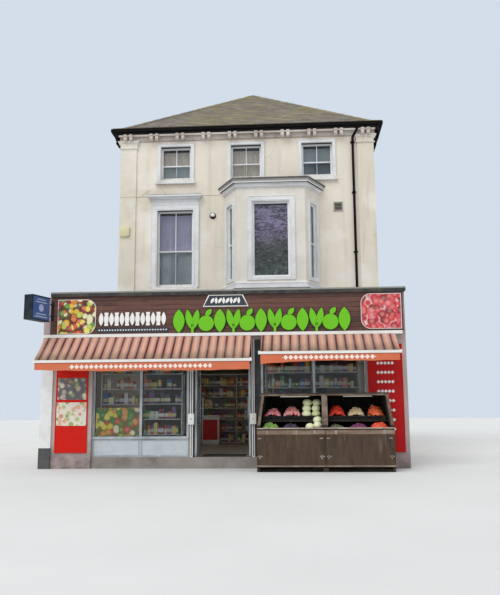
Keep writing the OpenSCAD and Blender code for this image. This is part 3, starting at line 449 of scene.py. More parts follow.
@dataclass(frozen=True)
class Timber(Finish):
    """Wood with its grain along one axis, each board of its own shade, greyed and chipped."""

    dark: str
    light: str
    grain: Point = (0.6, 14.0, 14.0)
    grey: str = "#8d8378"
    worn: float = 0.35
    roughness: float = 0.7

    def fill(self) -> None:
        """Fills the graph."""
        graph, patch = self.graph, self.graph.noise(1.9, 8.0, roughness=0.65)
        fibre = graph.noise(4.0, 8.0, graph.stretch(self.grain), 0.6, 0.4)
        shade = graph.sum("ADD", fibre, graph.sum("MULTIPLY_ADD", graph.chance(), 0.22, -0.1))
        colour = graph.ramp(shade, (0.3, self.dark), (0.68, self.light))
        colour = graph.veil(colour, self.grey, patch, 0.48, 0.68, self.worn)
        streak = graph.noise(2.0, 5.0, graph.stretch((7.0, 7.0, 0.6)))
        colour = graph.veil(colour, "#b3aba0", streak, 0.62, 0.72, self.worn * 0.7)
        graph.bump(fibre, 0.0025)
        graph.close(colour, graph.ramp(patch, (0.3, self.roughness), (0.7, 0.92)))


@dataclass(frozen=True)
class AwningCloth(Finish):
    """Woven awning cloth striped along its fall, with its dark stripes deepened by painted shade and a painted
    highlight across each panel, faded and grubby towards the front bar.
    """

    start: float
    pitch: float
    low: float

    def fill(self) -> None:
        """Fills the graph."""
        graph, seam_stripe_and_shade = self.graph, "#2f1615"
        across = graph.repeat(graph.sum("SUBTRACT", graph.axis("X"), self.start), self.pitch)
        # The dark band at the start of each pitch is the cloth's dark stripe, darkened further as painted shade; the
        # rise to a pale middle across each panel is partly the stripe's own colour and partly painted highlight.
        stripe = graph.ramp(across, (0.0, seam_stripe_and_shade), (0.17, "#321716"), (0.2, "#b47064"), (0.4, "#cf9380"),
                            (0.6, "#d8ae94"), (0.82, "#c68a7b"), (0.97, "#ad6f63"), (1.0, seam_stripe_and_shade))
        colour = graph.veil(stripe, "#b59c88", graph.noise(1.6, 6.0), 0.4, 0.75, 0.35)
        foot = graph.times(graph.band(graph.axis("Z"), self.low + 0.04, self.low + 0.22),
                           graph.ramp(graph.noise(5.0, 5.0), (0.3, 0.5), (0.65, 1.0)))
        colour = graph.mix(foot, colour, "#b4beb2", "MULTIPLY")
        graph.bump(graph.sum("MAXIMUM", graph.weave("Z"), graph.weave("X")), 0.0008)
        graph.close(colour, 0.85, sheen_weight=0.15)


@dataclass(frozen=True)
class ValanceCloth(Finish):
    """Plain orange cloth with a row of small pale lozenges, and a painted shadow along its top under the bar."""

    centre: float
    start: float
    end: float
    top: float
    pitch: float = 0.11

    def fill(self) -> None:
        """Fills the graph."""
        graph, x, z = self.graph, self.graph.axis("X"), self.graph.axis("Z")
        side = graph.times(graph.off(graph.repeat(x, self.pitch), 0.5), 2.1)
        far = graph.sum("ADD", side, graph.times(graph.off(z, self.centre), 19.0))
        mark = graph.times(graph.below(far, 1.0), graph.above(x, self.start), graph.below(x, self.end))
        colour = graph.veil("#d66f49", "#c88465", graph.noise(2.5, 6.0), 0.4, 0.75, 0.5)
        colour = graph.mix(mark, colour, "#f6e8de")
        # Painted shadow: the top 16 mm, under the bar, darken towards the top edge.
        colour = graph.mix(graph.band(z, self.top, self.top - 0.016), colour, "#3a2620")
        graph.bump(graph.weave("X"), 0.0008)
        graph.close(colour, 0.8, sheen_weight=0.15)


@dataclass(frozen=True)
class Pane(Finish):
    """Clear glass, a little dirty."""

    colour: str = "#f2f7f7"

    def fill(self) -> None:
        """Fills the graph."""
        graph, cloud = self.graph, self.graph.noise(1.1, 5.0)
        colour = graph.veil(self.colour, "#d3dada", cloud, 0.4, 0.8, 0.4)
        graph.bump(graph.noise(1.4, 1.0), 0.0015)
        graph.close(colour, graph.fade(cloud, 0.45, 0.8, 0.05), transmission_weight=1.0, ior=1.3,
                    specular_ior_level=0.3)


@dataclass(frozen=True)
class Blind(Finish):
    """A plain blind of stiff material, with soft vertical shading and a tint of its own."""

    colour: str
    shade: str
    lines: float

    def fill(self) -> None:
        """Fills the graph."""
        graph, fold = self.graph, self.graph.noise(1.0, 4.0, self.graph.stretch((self.lines, self.lines, 0.35)))
        colour = graph.veil(self.colour, self.shade, fold, 0.4, 0.65, 0.8)
        colour = graph.veil(colour, self.shade, graph.noise(1.4, 5.0), 0.45, 0.7, 0.5)
        graph.bump(fold, 0.006)
        graph.close(colour, 0.85)


@dataclass(frozen=True)
class Foliage(Finish):
    """A generic printed panel: soft dark fronds over violet above and green below."""

    top: float = 7.2
    bottom: float = 5.1

    def fill(self) -> None:
        """Fills the graph."""
        graph, height = self.graph, self.graph.band(self.graph.axis("Z"), self.bottom, self.top)
        ground = graph.ramp(height, (0.0, "#beabcc"), (0.3, "#b698c0"), (0.5, "#8c7e88"), (0.62, "#5c5c4e"),
                            (0.85, "#5d6356"), (1.0, "#6c7a6c"))
        frond = graph.noise(3.0, 7.0, graph.stretch((1.0, 1.0, 2.8), (0.0, 0.55, 0.0)), 0.72, 1.4)
        colour = graph.veil(ground, "#35302f", frond, 0.47, 0.52, 0.8)
        glint = graph.noise(10.0, 7.0, graph.stretch((1.0, 1.0, 2.0), (0.0, -0.6, 0.0)), 0.7, 0.8)
        lit = graph.times(graph.fade(glint, 0.54, 0.6, 0.8),
                          graph.ramp(height, (0.0, 0.9), (0.55, 0.25), (0.85, 0.3), (0.97, 1.0)))
        graph.bump(frond, 0.002)
        graph.close(graph.mix(lit, colour, "#cfc4d2"), 0.6)


@dataclass(frozen=True)
class RoundPrint(Finish):
    """A generic print of overlapping round shapes in a few colours."""

    colours: tuple[str, ...]
    ground: str
    scale: float
    size: float

    def fill(self) -> None:
        """Fills the graph."""
        graph, size = self.graph, self.size
        cell = graph.cells(self.scale, graph.stretch((1.0, 0.0, 1.0)))
        colour = graph.pick(graph.node("SeparateColor", color=cell.outputs["Color"]).outputs[0], self.colours)
        far = cell.outputs["Distance"]
        colour = graph.mix(graph.ramp(far, (0.0, 0.35), (size * 0.6, 0.0)), colour, "#f3e7cf")
        colour = graph.veil(colour, self.ground, far, size * 0.75, size, 0.9)
        graph.bump(graph.noise(30.0, 2.0), 0.0004)
        graph.close(colour, 0.35)


@dataclass(frozen=True)
class Skin(Finish):
    """The skin of fruit or vegetables: two colours by the piece, with a soft shine."""

    colour: str
    other: str
    roughness: float = 0.4
    marks: str = "#3c3a24"

    def fill(self) -> None:
        """Fills the graph."""
        graph, colour = self.graph, self.graph.mix(self.graph.chance(), self.colour, self.other)
        colour = graph.veil(colour, self.other, graph.noise(26.0, 5.0), 0.5, 0.75, 0.35)
        colour = graph.veil(colour, self.marks, graph.noise(60.0, 3.0), 0.66, 0.75, 0.4)
        graph.bump(graph.noise(70.0, 3.0), 0.002)
        graph.close(colour, self.roughness, subsurface_weight=0.05)


@dataclass(frozen=True)
class Packets(Finish):
    """Plain packets and tins in many colours, each with a paler band."""

    colours: tuple[str, ...]
    foot: float
    pitch: float = 0.35

    def fill(self) -> None:
        """Fills the graph."""
        graph, chance = self.graph, self.graph.chance()
        level = graph.repeat(graph.sum("SUBTRACT", graph.axis("Z"), self.foot), self.pitch)
        label = graph.ramp(level, (0.0, 0.0), (0.14, 0.0), (0.15, 0.75), (0.36, 0.75), (0.37, 0.0))
        pale = graph.ramp(graph.sum("FRACT", graph.times(chance, 7.3)), (0.0, "#e8dfc8"), (0.4, "#d8c15a"),
                          (0.7, "#c9d3dc"), (1.0, "#efe9df"))
        graph.bump(graph.noise(40.0, 2.0), 0.001)
        graph.close(graph.mix(label, graph.pick(chance, self.colours), pale),
                    graph.ramp(graph.noise(8.0), (0.3, 0.3), (0.7, 0.55)))


@dataclass(frozen=True)
class FloorTiles(Finish):
    """Square floor tiles with grey joints, and plain render on the upright faces."""

    colour: str
    other: str
    side: float = 0.4

    def fill(self) -> None:
        """Fills the graph."""
        graph, cloud = self.graph, self.graph.noise(1.3, 6.0)
        tile = graph.node("TexBrick", vector=graph.place, offset=0.0, squash=1.0, color1=self.colour,
                          color2=self.other, mortar="#6d6a66", scale=1.0, brick_width=self.side,
                          row_height=self.side, mortar_size=0.006)
        colour = graph.veil(tile.outputs["Color"], "#7c766d", cloud, 0.4, 0.7, 0.4)
        upright = graph.node("SeparateXYZ", vector=graph.node("NewGeometry").outputs["Normal"]).outputs["Z"]
        render = graph.ramp(graph.noise(2.4, 7.0), (0.3, "#9b938d"), (0.55, "#8b837d"), (0.75, "#68615c"))
        colour = graph.mix(graph.below(upright, 0.5), colour, render)
        graph.bump(graph.sum("SUBTRACT", 1.0, tile.outputs["Fac"]), 0.001)
        graph.close(colour, graph.ramp(cloud, (0.3, 0.35), (0.7, 0.6)))


FRUIT_COLOURS = ("#c63a2e", "#e3b52d", "#5f8f34", "#e8d45c", "#8c2a3a", "#d9772c", "#b9c64f", "#e6e0b2")
RED_COLOURS = ("#c4303c", "#b3202d", "#d1414a", "#a81f2c", "#d8606b", "#8c1c26", "#c22c38", "#cf3a3f")
FILM_COLOURS = ("#6f9440", "#f0d532", "#ece6c4", "#d8562e", "#f4df5c", "#4f8a3a", "#e59a3c")
GOODS_COLOURS = ("#b5342a", "#2f5d8c", "#d9a62e", "#4f7d3c", "#8c4a2f", "#c9c2b2", "#6b3f7a", "#d3622b",
                 "#3b3f46", "#a8b4bd", "#7c1f2a", "#cfae6a")


class Finishes:
    """Every finish of the building, by its use."""

    stucco = Stucco("cream_stucco", "#e9e1d2", runs=0.2, cracks=0.4, foot=4.05, foot_h=0.45)
    plain_stucco = Stucco("bay_stucco", "#e6e1d7", runs=0.25, cracks=0.15, foot=4.05, foot_h=0.35)
    pilaster_stucco = Stucco("pilaster_stucco", "#e2dbcc", runs=0.4, foot=4.05)
    shop_stucco = Stucco("shop_render", "#b9a8a5", "#9a8a86", "#5c5350", foot=0.0, foot_h=0.7, pale=0.12)
    # The eaves' plaster and scrolls are a darker pinkish cream than the walls' render: painted shade under the eaves.
    eaves = Stucco("eaves_plaster_shaded", "#d6cbc2", "#b3a59a", runs=0.4, board=0.147)
    scroll = Stucco("scroll_plaster_shaded", "#c9bdb4", "#9c8f86", runs=0.4)
    capital = Stucco("capital_plaster", "#e6e2da", "#b9b0a2", runs=0.3)
    bay_cornice = Paint("bay_cornice", "#b9b7b4", dirt=0.3, roughness=0.6, split=7.88, below="#e9eaec")
    coping = Paint("coping_lead", "#8d918c", dirt=0.35, roughness=0.6, split=4.017, below="#2e2c2e", relief=0.006)
    moulding = Paint("white_moulding", "#e9eaec", dirt=0.22, roughness=0.6)
    sill = Paint("peeling_sill", "#e4e3e0", "#a1947f", wear=0.5, dirt=0.45, roughness=0.65)
    sash = Paint("sash_white", "#eef0f2", roughness=0.35)
    end_white = Paint("end_pilaster_paint", "#e6e6e6", dirt=0.3, roughness=0.55, split=0.46, below="#494b4d")
    slates = SlateCover("slates")
    hip_tiles = SlateCover("hip_tiles", 1.6)
    bay_lead = Lead("bay_lead", "#5a564f", "#8a8478")
    lead = Lead("lead")
    felt = Lead("roofing_felt", "#4d4f53", "#77797b")
    gutter = Paint("gutter_black", "#100e0e", dirt=0.03, roughness=0.7, shine=0.1)
    white_metal = Paint("white_metal", "#eceae7", roughness=0.35)
    dark_frame = Paint("dark_frame", "#343538", dirt=0.3)
    rubber = Paint("rubber", "#1d1d1e", dirt=0.1, roughness=0.7)
    aluminium = Metal("aluminium", "#c3c9cc", "#8e9497", 0.38, 0.55)
    steel = Metal("galvanised_steel", "#b9bcbd", "#7b7c7b", 0.4)
    worn_steel = Metal("worn_steel", "#a8a39b", "#6c5a4a", 0.5, 0.7)
    riser = Paint("riser_panel", "#c3ccd1", dirt=0.3, roughness=0.5)
    planks = Timber("sign_planks", "#37211d", "#6d4438", worn=0.12, roughness=0.45)
    stand = Timber("stand_timber", "#1d150f", "#3d2e24", (1.0, 9.0, 9.0), "#51463c")
    flap = Timber("flap_timber", "#2e2015", "#4e3a29", (5.0, 9.0, 0.8), "#655746", 0.3)
    lip = Timber("worn_lip", "#8b7a69", "#d2c5b4", (0.8, 10.0, 10.0), worn=0.5)
    edge = Timber("stand_edges", "#46382b", "#7d6a57", (1.0, 10.0, 1.0), "#a39686", 0.55)
    batten = Timber("flap_battens", "#4e3d2e", "#86705f", (0.8, 10.0, 10.0), "#ab9d8e", 0.7)
    # Near-black: painted shade inside the stand.
    lining = Paint("stand_shade_lining", "#14110f", dirt=0.1, roughness=0.9, shine=0.1)
    pale_wood = Timber("crate_wood", "#b98f5c", "#ddbf8c", worn=0.15)
    floor = FloorTiles("shop_floor", "#a7a49c", "#9a968e")
    deck = Timber("floor_boards", "#7d6243", "#b3946b", worn=0.1)
    glass = Pane("clear_glass")
    door_glass = Pane("door_glass", "#e6efef")
    red_board = Paint("red_board", "#cf1606", dirt=0.05, roughness=0.5, shine=0.2)
    dark_red_board = Paint("dark_red_board", "#bd0f12", dirt=0.05, roughness=0.5, shine=0.2)
    beige_blind = Blind("beige_blind", "#f0dccd", "#dcc6b8", 14.0)
    dim_blind = Blind("dim_blind", "#8a9298", "#2f3438", 4.0)
    mauve_blind = Blind("mauve_blind", "#cabdd4", "#b1a4be", 5.0)
    grey_blind = Blind("grey_blind", "#b9bbbd", "#989da1", 4.0)
    pale_blind = Blind("pale_blind", "#d8dfe3", "#b4bbc0", 6.0)
    foliage = Foliage("foliage_panel")
    fruit_print = RoundPrint("fruit_print", FRUIT_COLOURS, "#3a2a1a", 8.5, 0.7)
    meat_print = RoundPrint("red_print", RED_COLOURS, "#eadbd6", 8.0, 0.95)
    film_print = RoundPrint("window_film", FILM_COLOURS, "#6d6a3a", 8.0, 0.72)
    dish_print = RoundPrint("grey_print", ("#b3a191", "#8e6b5e", "#cfc4b0", "#7c8a5c"), "#5a5c62", 9.0, 0.6)
    pale_print = RoundPrint("pale_print", ("#b5bf7a", "#dba98a", "#c9866b", "#8fa05a"), "#e6dfd3", 9.0, 0.55)
    green_sign = Paint("green_acrylic", "#6fc422", dirt=0.06, shine=0.2)
    green_back = Paint("green_edge", "#24421a", dirt=0.1, roughness=0.5, shine=0.2)
    white_sign = Paint("white_acrylic", "#f0efec", dirt=0.08, roughness=0.3)
    slate_sign = Paint("plaque_grey", "#2f3540", dirt=0.1, roughness=0.35)
    blue_sign = Paint("blue_acrylic", "#35589b", dirt=0.25, roughness=0.25, grain=(2.0, 2.0, 2.0))
    blue_pale = Paint("pale_blue_acrylic", "#a2b6d6", dirt=0.15, roughness=0.3)
    black_metal = Paint("sign_case", "#18222c", dirt=0.15, roughness=0.5, shine=0.2)
    sign_edge = Paint("sign_edge", "#b1b1be")
    glow = Glow("light_strip", 0.05)
    room_light = Glow("room_light", 3.5)
    opal = Paint("opal_glass", "#f4f4f2", dirt=0.1, roughness=0.2)
    alarm = Paint("alarm_cream", "#e0d6ab")
    vent = Paint("vent_grey", "#b3b0a8", dirt=0.4, roughness=0.6)
    door_green = Paint("door_green", "#4d5a55", "#8b8372", wear=0.2, dirt=0.3, roughness=0.45)
    shelf_metal = Paint("shelf_metal", "#cfcac2")
    goods = Packets("goods", GOODS_COLOURS, 0.295)
    rack_goods = Packets("rack_packets", GOODS_COLOURS[::-1], 0.75)
    mat = Paint("door_mat", "#26262a", roughness=0.95, relief=0.004, grain=(120.0, 120.0, 120.0))
    chest_white = Paint("chest_white", "#e2e4e5", dirt=0.15, roughness=0.3)
    chest_red = Paint("chest_red", "#b8241c", dirt=0.1, roughness=0.3)
    tray = Paint("black_tray", "#171717", dirt=0.12, roughness=0.6, shine=0.2)


# Meshes


def tilt(angle: float, axis: str) -> Matrix:
    """Returns a turn about an axis, by an angle in radians."""
    return Matrix.Rotation(angle, 4, axis)


def spin(turn: float) -> Matrix:
    """Returns a turn about Z, by an angle in degrees."""
    return tilt(math.radians(turn), "Z")


def shift(x: float, y: float, z: float = 0.0) -> Matrix:
    """Returns a move by x, y and z."""
    return Matrix.Translation((x, y, z))


def about(middle: float, half: float) -> Span:
    """Returns the limits that lie at the same distance on both sides of a middle."""
    return middle - half, middle + half


def grow(limits: Span, by: float) -> Span:
    """Returns limits that are set out by a distance at both ends."""
    return limits[0] - by, limits[1] + by


def limits_of(node: str) -> Block:
    """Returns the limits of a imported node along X, Y and Z."""
    return tuple(zip(*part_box(node)))


def spread(limits: Span, count: int) -> list[float]:
    """Returns the middles of a number of equal parts between limits."""
    return [limits[0] + (i + 0.5) * (limits[1] - limits[0]) / count for i in range(count)]


class Shape:
    """A mesh being made from the few solids that the building's pieces consist of."""

    def __init__(self, *blocks: Block) -> None:
        """Starts a mesh.

        Args:
            *blocks: Blocks that it starts with, each by its limits along X, Y and Z.
        """
        self.bm = bmesh.new()
        for block in blocks:
            self.box(*block)

    def box(self, x: Span, y: Span, z: Span, place: Matrix = HERE) -> None:
        """Adds a block by its limits in the frame of its place."""
        middle, size = zip(*(((a + b) / 2, abs(b - a)) for a, b in (x, y, z)))
        bmesh.ops.create_cube(self.bm, size=1.0, matrix=place @ Matrix.LocRotScale(Vector(middle), None, Vector(size)))

    def rod(self, start: Point, end: Point, radius: float, tip: float = 0.0, sides: int = 12,
            place: Matrix = HERE) -> None:
        """Adds a round bar by the middles of its ends and its radius, and that of its tip where it differs."""
        middle, way = (Vector(start) + Vector(end)) / 2, Vector(end) - Vector(start)
        bmesh.ops.create_cone(self.bm, cap_ends=True, segments=sides, radius1=radius, radius2=tip or radius,
                              depth=way.length,
                              matrix=place @ Matrix.LocRotScale(middle, way.to_track_quat("Z", "Y"), None))

    def ball(self, centre: Point, radii: Point, sides: int = 8, rings: int = 5, place: Matrix = HERE) -> None:
        """Adds a rounded lump by its middle and radii in the frame of its place."""
        where = place @ Matrix.LocRotScale(Vector(centre), None, Vector(radii))
        bmesh.ops.create_uvsphere(self.bm, u_segments=sides, v_segments=rings, radius=1.0, matrix=where)

    def prism(self, outline: Sequence[Point], depth: Point, place: Matrix = HERE) -> None:
        """Adds a flat outline pushed out by a depth into a solid.

        Args:
            outline: The outline's corners.
            depth: How far and which way it is pushed.
            place: Where its own frame lies.
        """
        face = self.bm.faces.new([self.bm.verts.new(place @ Vector(corner)) for corner in outline])
        made = bmesh.ops.extrude_face_region(self.bm, geom=[face])["geom"]
        bmesh.ops.translate(self.bm, verts=[part for part in made if isinstance(part, bmesh.types.BMVert)],
                            vec=place.to_3x3() @ Vector(depth))

    def slab(self, outline: Sequence[Span], y: Span, place: Matrix = HERE) -> None:
        """Adds an upright outline in X and Z as a solid between limits along Y."""
        self.prism([(x, y[0], z) for x, z in outline], (0.0, y[1] - y[0], 0.0), place)

    def skin(self, columns: int, rows: int, spot: Callable[[int, int], Point], place: Matrix = HERE) -> None:
        """Adds a net of columns and rows of faces, its points where spot puts them by their column and row."""
        for vertex in bmesh.ops.create_grid(self.bm, x_segments=columns, y_segments=rows, size=0.5)["verts"]:
            vertex.co = place @ Vector(spot(round((vertex.co.x + 0.5) * columns), round((vertex.co.y + 0.5) * rows)))

    def ring(self, x: Span, y: Span, z: Span, band: float, place: Matrix = HERE) -> None:
        """Adds an upright frame of four bars by its limits and the width of the bars."""
        for bar, level in (((x[0], x[0] + band), z), ((x[1] - band, x[1]), z),
                           (grow(x, -band), (z[0], z[0] + band)), (grow(x, -band), (z[1] - band, z[1]))):
            self.box(bar, y, level, place)

    def move(self, place: Matrix) -> None:
        """Moves everything to its place."""
        bmesh.ops.transform(self.bm, matrix=place, verts=self.bm.verts)

    def thicken(self, thickness: float) -> None:
        """Gives a skin its thickness."""
        bmesh.ops.recalc_face_normals(self.bm, faces=self.bm.faces)
        bmesh.ops.solidify(self.bm, geom=self.bm.faces[:], thickness=thickness)

    def bevel(self, width: float, steps: int = 1) -> None:
        """Rounds the sharp edges by a width, in a number of steps."""
        sharp = [edge for edge in self.bm.edges if edge.is_manifold and edge.calc_face_angle(0.0) > 0.6]
        bmesh.ops.bevel(self.bm, geom=sharp, offset=width, offset_type="OFFSET", segments=steps, profile=0.5,
                        affect="EDGES", material=-1, clamp_overlap=True)

    def cut(self, point: Point, normal: Point) -> None:
        """Cuts away what lies beyond a plane, on the side that its normal shows, and closes the cut."""
        made = bmesh.ops.bisect_plane(self.bm, geom=[*self.bm.verts, *self.bm.edges, *self.bm.faces], dist=1e-6,
                                      plane_co=point, plane_no=normal, clear_outer=True)["geom_cut"]
        bmesh.ops.holes_fill(self.bm, edges=[part for part in made if isinstance(part, bmesh.types.BMEdge)], sides=0)

    def piece(self, name: str, finish: Finish, slot: str, *nodes: str, body: Body = Body.BUILDING,
              bevel: float = 0.0, steps: int = 1, smooth: bool = False, recalc: bool = True) -> bpy.types.Object:
        """Turns the mesh into a piece of the building.

        Args:
            name: The piece's name.
            finish: Its finish.
            slot: The record's material slot; not used.
            *nodes: The nodes that it stands for.
            body: The body that it rides on.
            bevel: How far its sharp edges are rounded.
            steps: The number of steps of the rounding.
            smooth: Whether its shallow edges are shaded smooth.
            recalc: Whether its faces are turned outwards first.

        Returns:
            The piece.
        """
        if bevel:
            self.bevel(bevel, steps)
        if recalc:
            bmesh.ops.recalc_face_normals(self.bm, faces=self.bm.faces)
        made = self.plain(name, finish.material())
        if smooth:
            made.data.shade_smooth()
            made.data.set_sharp_from_angle(angle=math.radians(38))
        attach(made, body.value)
        if nodes:
            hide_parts(*nodes)
        LOG.info("%s: %d faces", name, len(made.data.polygons))
        return made

    def plain(self, name: str, material: bpy.types.Material) -> bpy.types.Object:
        """Turns the mesh into an object of the scene.

        Args:
            name: The object's name.
            material: Its material.

        Returns:
            The object.
        """
        mesh = bpy.data.meshes.new(name)
        self.bm.to_mesh(mesh)
        self.bm.free()
        mesh.materials.append(material)
        made = bpy.data.objects.new(name, mesh)
        bpy.context.scene.collection.objects.link(made)
        return made


# Roof and eaves


@dataclass
class SlateRoof:
    """The hipped roof: four slopes of slates laid in courses, with tiles over its hips and ridge."""

    half_w: float = 4.1
    half_l: float = 4.575
    rise: float = 2.99
    eaves_z: float = 9.93
    slate_w: float = 0.25
    slate_t: float = 0.008
    gauge: float = 0.19
    lap: float = 0.05
    sink: float = 0.03
    tail_up: float = 0.014
    tile_l: float = 0.42
    tile_r: float = 0.055
    over: float = 0.06
    knee_in: float = 0.24
    kick: float = math.radians(24.0)

    def __post_init__(self) -> None:
        """Works out the pitch of the slopes, and the height over the eaves where they grow less steep."""
        self.pitch = math.atan(self.rise / self.half_w)
        self.knee_z = self.knee_in * math.tan(self.pitch)

    def slope(self, name: str, number: int) -> None:
        """Lays the slates of one slope in courses, the lowest ones less steep, and cuts them at the hips.

        Args:
            name: The piece's name.
            number: The number of quarter turns that it lies away from the front.
        """
        chance, (half_eaves, out) = random.Random(name), (self.half_w, self.half_l)[::-1 if number % 2 else 1]
        turned = shift(*HOUSE_CENTRE, self.eaves_z) @ spin(90 * number) @ shift(0.0, -out)
        main = (self.half_w - self.knee_in) / math.cos(self.pitch)
        low = (self.over + self.knee_in) / math.cos(self.kick)
        start = self.knee_z - (self.over + self.knee_in) * math.tan(self.kick) + self.sink
        for part, inwards, up, pitch, reach, gauge, count in (
                ("", self.knee_in, self.knee_z, self.pitch, main, self.gauge, math.ceil(main / self.gauge)),
                ("_eaves", -self.over, start, self.kick, low + 0.04, low / 2, 2)):
            shape, width, cosine = Shape(), half_eaves - inwards, math.cos(pitch)
            for row in range(count):
                ahead = row * gauge
                half = width - ahead * cosine
                edge = math.ceil(half / self.slate_w) + 1
                for column in range(-edge, edge + 1):
                    x = (column + 0.5 * (row % 2)) * self.slate_w
                    if abs(x) - self.slate_w / 2 > half:
                        continue
                    place = (shift(x, ahead + chance.uniform(-0.003, 0.003), self.tail_up - self.sink)
                             @ spin(chance.uniform(-0.5, 0.5))
                             @ tilt(-self.tail_up / gauge * chance.uniform(0.85, 1.1), "X"))
                    shape.box(about(0.0, self.slate_w / 2 - chance.uniform(0.001, 0.003)),
                              (0.0, min(gauge + self.lap, reach - ahead + 0.02)), (-self.slate_t, 0.0), place)
            for side in (-1, 1):
                shape.cut((side * width, 0.0, 0.0), (side, cosine, -math.sin(pitch)))
            shape.move(turned @ shift(0.0, inwards, up) @ tilt(pitch, "X"))
            shape.piece(name + part, Finishes.slates, "slate")

    def deck(self) -> None:
        """Makes the plain roof under the slates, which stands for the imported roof."""
        shape = Shape()
        half, top = self.half_w - 0.06, self.rise - self.sink - 0.016
        shape.slab([(-half, 0.0), (half, 0.0), (0.0, top)], (-self.half_l, self.half_l))
        for side in (-1, 1):
            shape.cut((0.0, side * (self.half_l - 0.06), 0.0), (0.0, side * top, half))
        shape.move(shift(*HOUSE_CENTRE, self.eaves_z))
        shape.piece("roof_deck", Finishes.slates, "slate", "house_roof")

    def tiles(self) -> None:
        """Lays the tiles over the four hips and the ridge."""
        shape, top = Shape(), self.rise - self.tile_r - 0.002
        ridge = self.half_l - self.half_w
        lines = [((0.0, -ridge, top), (0.0, ridge, top))]
        for x in (-1, 1):
            for y in (-1, 1):
                corner, knee = ((x * (self.half_w + out), y * (self.half_l + out), z - self.tile_r)
                                for out, z in ((self.over - 0.03, 0.075), (-self.knee_in, self.knee_z + 0.03)))
                lines += [(corner, knee), (knee, (0.0, y * ridge, top))]
        for start, end in ((Vector(a), Vector(b)) for a, b in lines):
            count = math.ceil((end - start).length / self.tile_l)
            for i in range(count):
                shape.rod(start.lerp(end, i / count), start.lerp(end, min(1.0, (i + 1.08) / count)), self.tile_r,
                          self.tile_r - 0.008, 10)
        shape.move(shift(*HOUSE_CENTRE, self.eaves_z))
        shape.piece("hip_tiles", Finishes.hip_tiles, "slate", smooth=True)

    def build(self) -> None:
        """Makes the roof's pieces."""
        self.deck()
        for number, side in enumerate(("front", "right", "back", "left")):
            self.slope("slates_" + side, number)
        self.tiles()


@dataclass
class Eaves:
    """The carved scrolls that stand before the eaves board in pairs, and the thin lines of the frieze."""

    pilaster: float = 0.5
    pitch: float = 0.79
    gap: float = 0.175
    width: float = 0.1
    line: tuple[Span, ...] = (
        (0.13, 9.57), (0.165, 9.58), (0.2, 9.615), (0.21, 9.66), (0.197, 9.695), (0.205, 9.72), (0.228, 9.745),
        (0.23, 9.788), (0.1755, 9.788), (0.1755, 9.7295), (0.13, 9.7295))
    frieze: tuple[Span, ...] = ((9.628, 0.052), (9.6, 0.012))

    def build(self) -> None:
        """Makes the eaves' pieces."""
        scrolls, lines = (Shape(), Shape()), Shape()
        for i in range(4):
            length, out = HOUSE_HALF[::-1] if i % 2 else HOUSE_HALF
            place = shift(*HOUSE_CENTRE) @ spin(90 * i) @ shift(0.0, -out)
            count = round((2 * length - self.pitch / 2) / self.pitch)
            for k in range(count + 1):
                for side in (-1, 1):
                    x = (self.pilaster / 2 - length + k * (2 * length - self.pilaster) / count
                         + (side * self.gap - self.width) / 2)
                    scrolls[i % 2].prism([(x, -far, z) for far, z in self.line], (self.width, 0.0, 0.0), place)
            for z, depth in self.frieze:
                lines.box(about(0.0, length + depth), (-depth, 0.0), (z - 0.014, z), place)
        scrolls[0].piece("eaves_scrolls", Finishes.scroll, "eaves_paint", bevel=0.004)
        # Painted shade: the scrolls on the sides take the black gutter finish for the shade under the eaves there.
        scrolls[1].piece("side_scrolls_shaded", Finishes.gutter, "eaves_paint", bevel=0.004)
        lines.piece("frieze_lines", Finishes.scroll, "eaves_paint", bevel=0.002)


@dataclass
class Downpipe:
    """The iron downpipe, with a neck that runs forwards and sideways up to the gutter."""

    radius: float = 0.038
    path: tuple[Point, ...] = ((3.56, -2.175, 3.85), (3.56, -2.175, 9.5), (3.57, -2.19, 9.55), (3.68, -2.315, 9.71),
                               (3.69, -2.325, 9.76), (3.69, -2.325, 9.862))
    clips: tuple[float, ...] = (5.9, 7.75, 9.35)

    def build(self) -> None:
        """Makes the pipe with its sockets and clips."""
        shape = Shape()
        for start, end in zip(self.path, self.path[1:]):
            shape.rod(start, end, self.radius, sides=20)
        for corner in self.path[1:-1]:
            shape.ball(corner, (self.radius,) * 3, 20, 10)
        x, y, _ = self.path[0]
        for z in self.clips:
            shape.rod((x, y, z), (x, y, z + 0.055), self.radius + 0.005, sides=20)
            shape.box(about(x, 0.063), (y + 0.02, HOUSE_Y), (z + 0.01, z + 0.055))
        shape.piece("downpipe_with_neck", Finishes.gutter, "black_iron", "downpipe", smooth=True)


# Windows


class Cover(Enum):
    """What is behind a window: the pieces of its upper and lower part, and how far back the lower one is."""

    NONE = ("", "", 0.0)
    VANES = ("vane_blinds", "vane_blinds", 0.0)
    MIXED = ("vane_blinds", "grey_blinds", 0.0)
    HALF = ("grey_blinds", "dim_curtain", 0.01)
    TALL = ("mauve_blind", "grey_blinds", 0.01)
    PALE = ("pale_blinds", "", 0.0)


@dataclass(frozen=True)
class Opening:
    """A window opening in its own frame: X across, +Y inwards, its bottom middle at the origin."""

    place: Matrix
    width: float
    height: float
    rail: float
    frame_y: float = 0.11
    frame_d: float = 0.09
    bars: bool = True
    cover: Cover = Cover.NONE


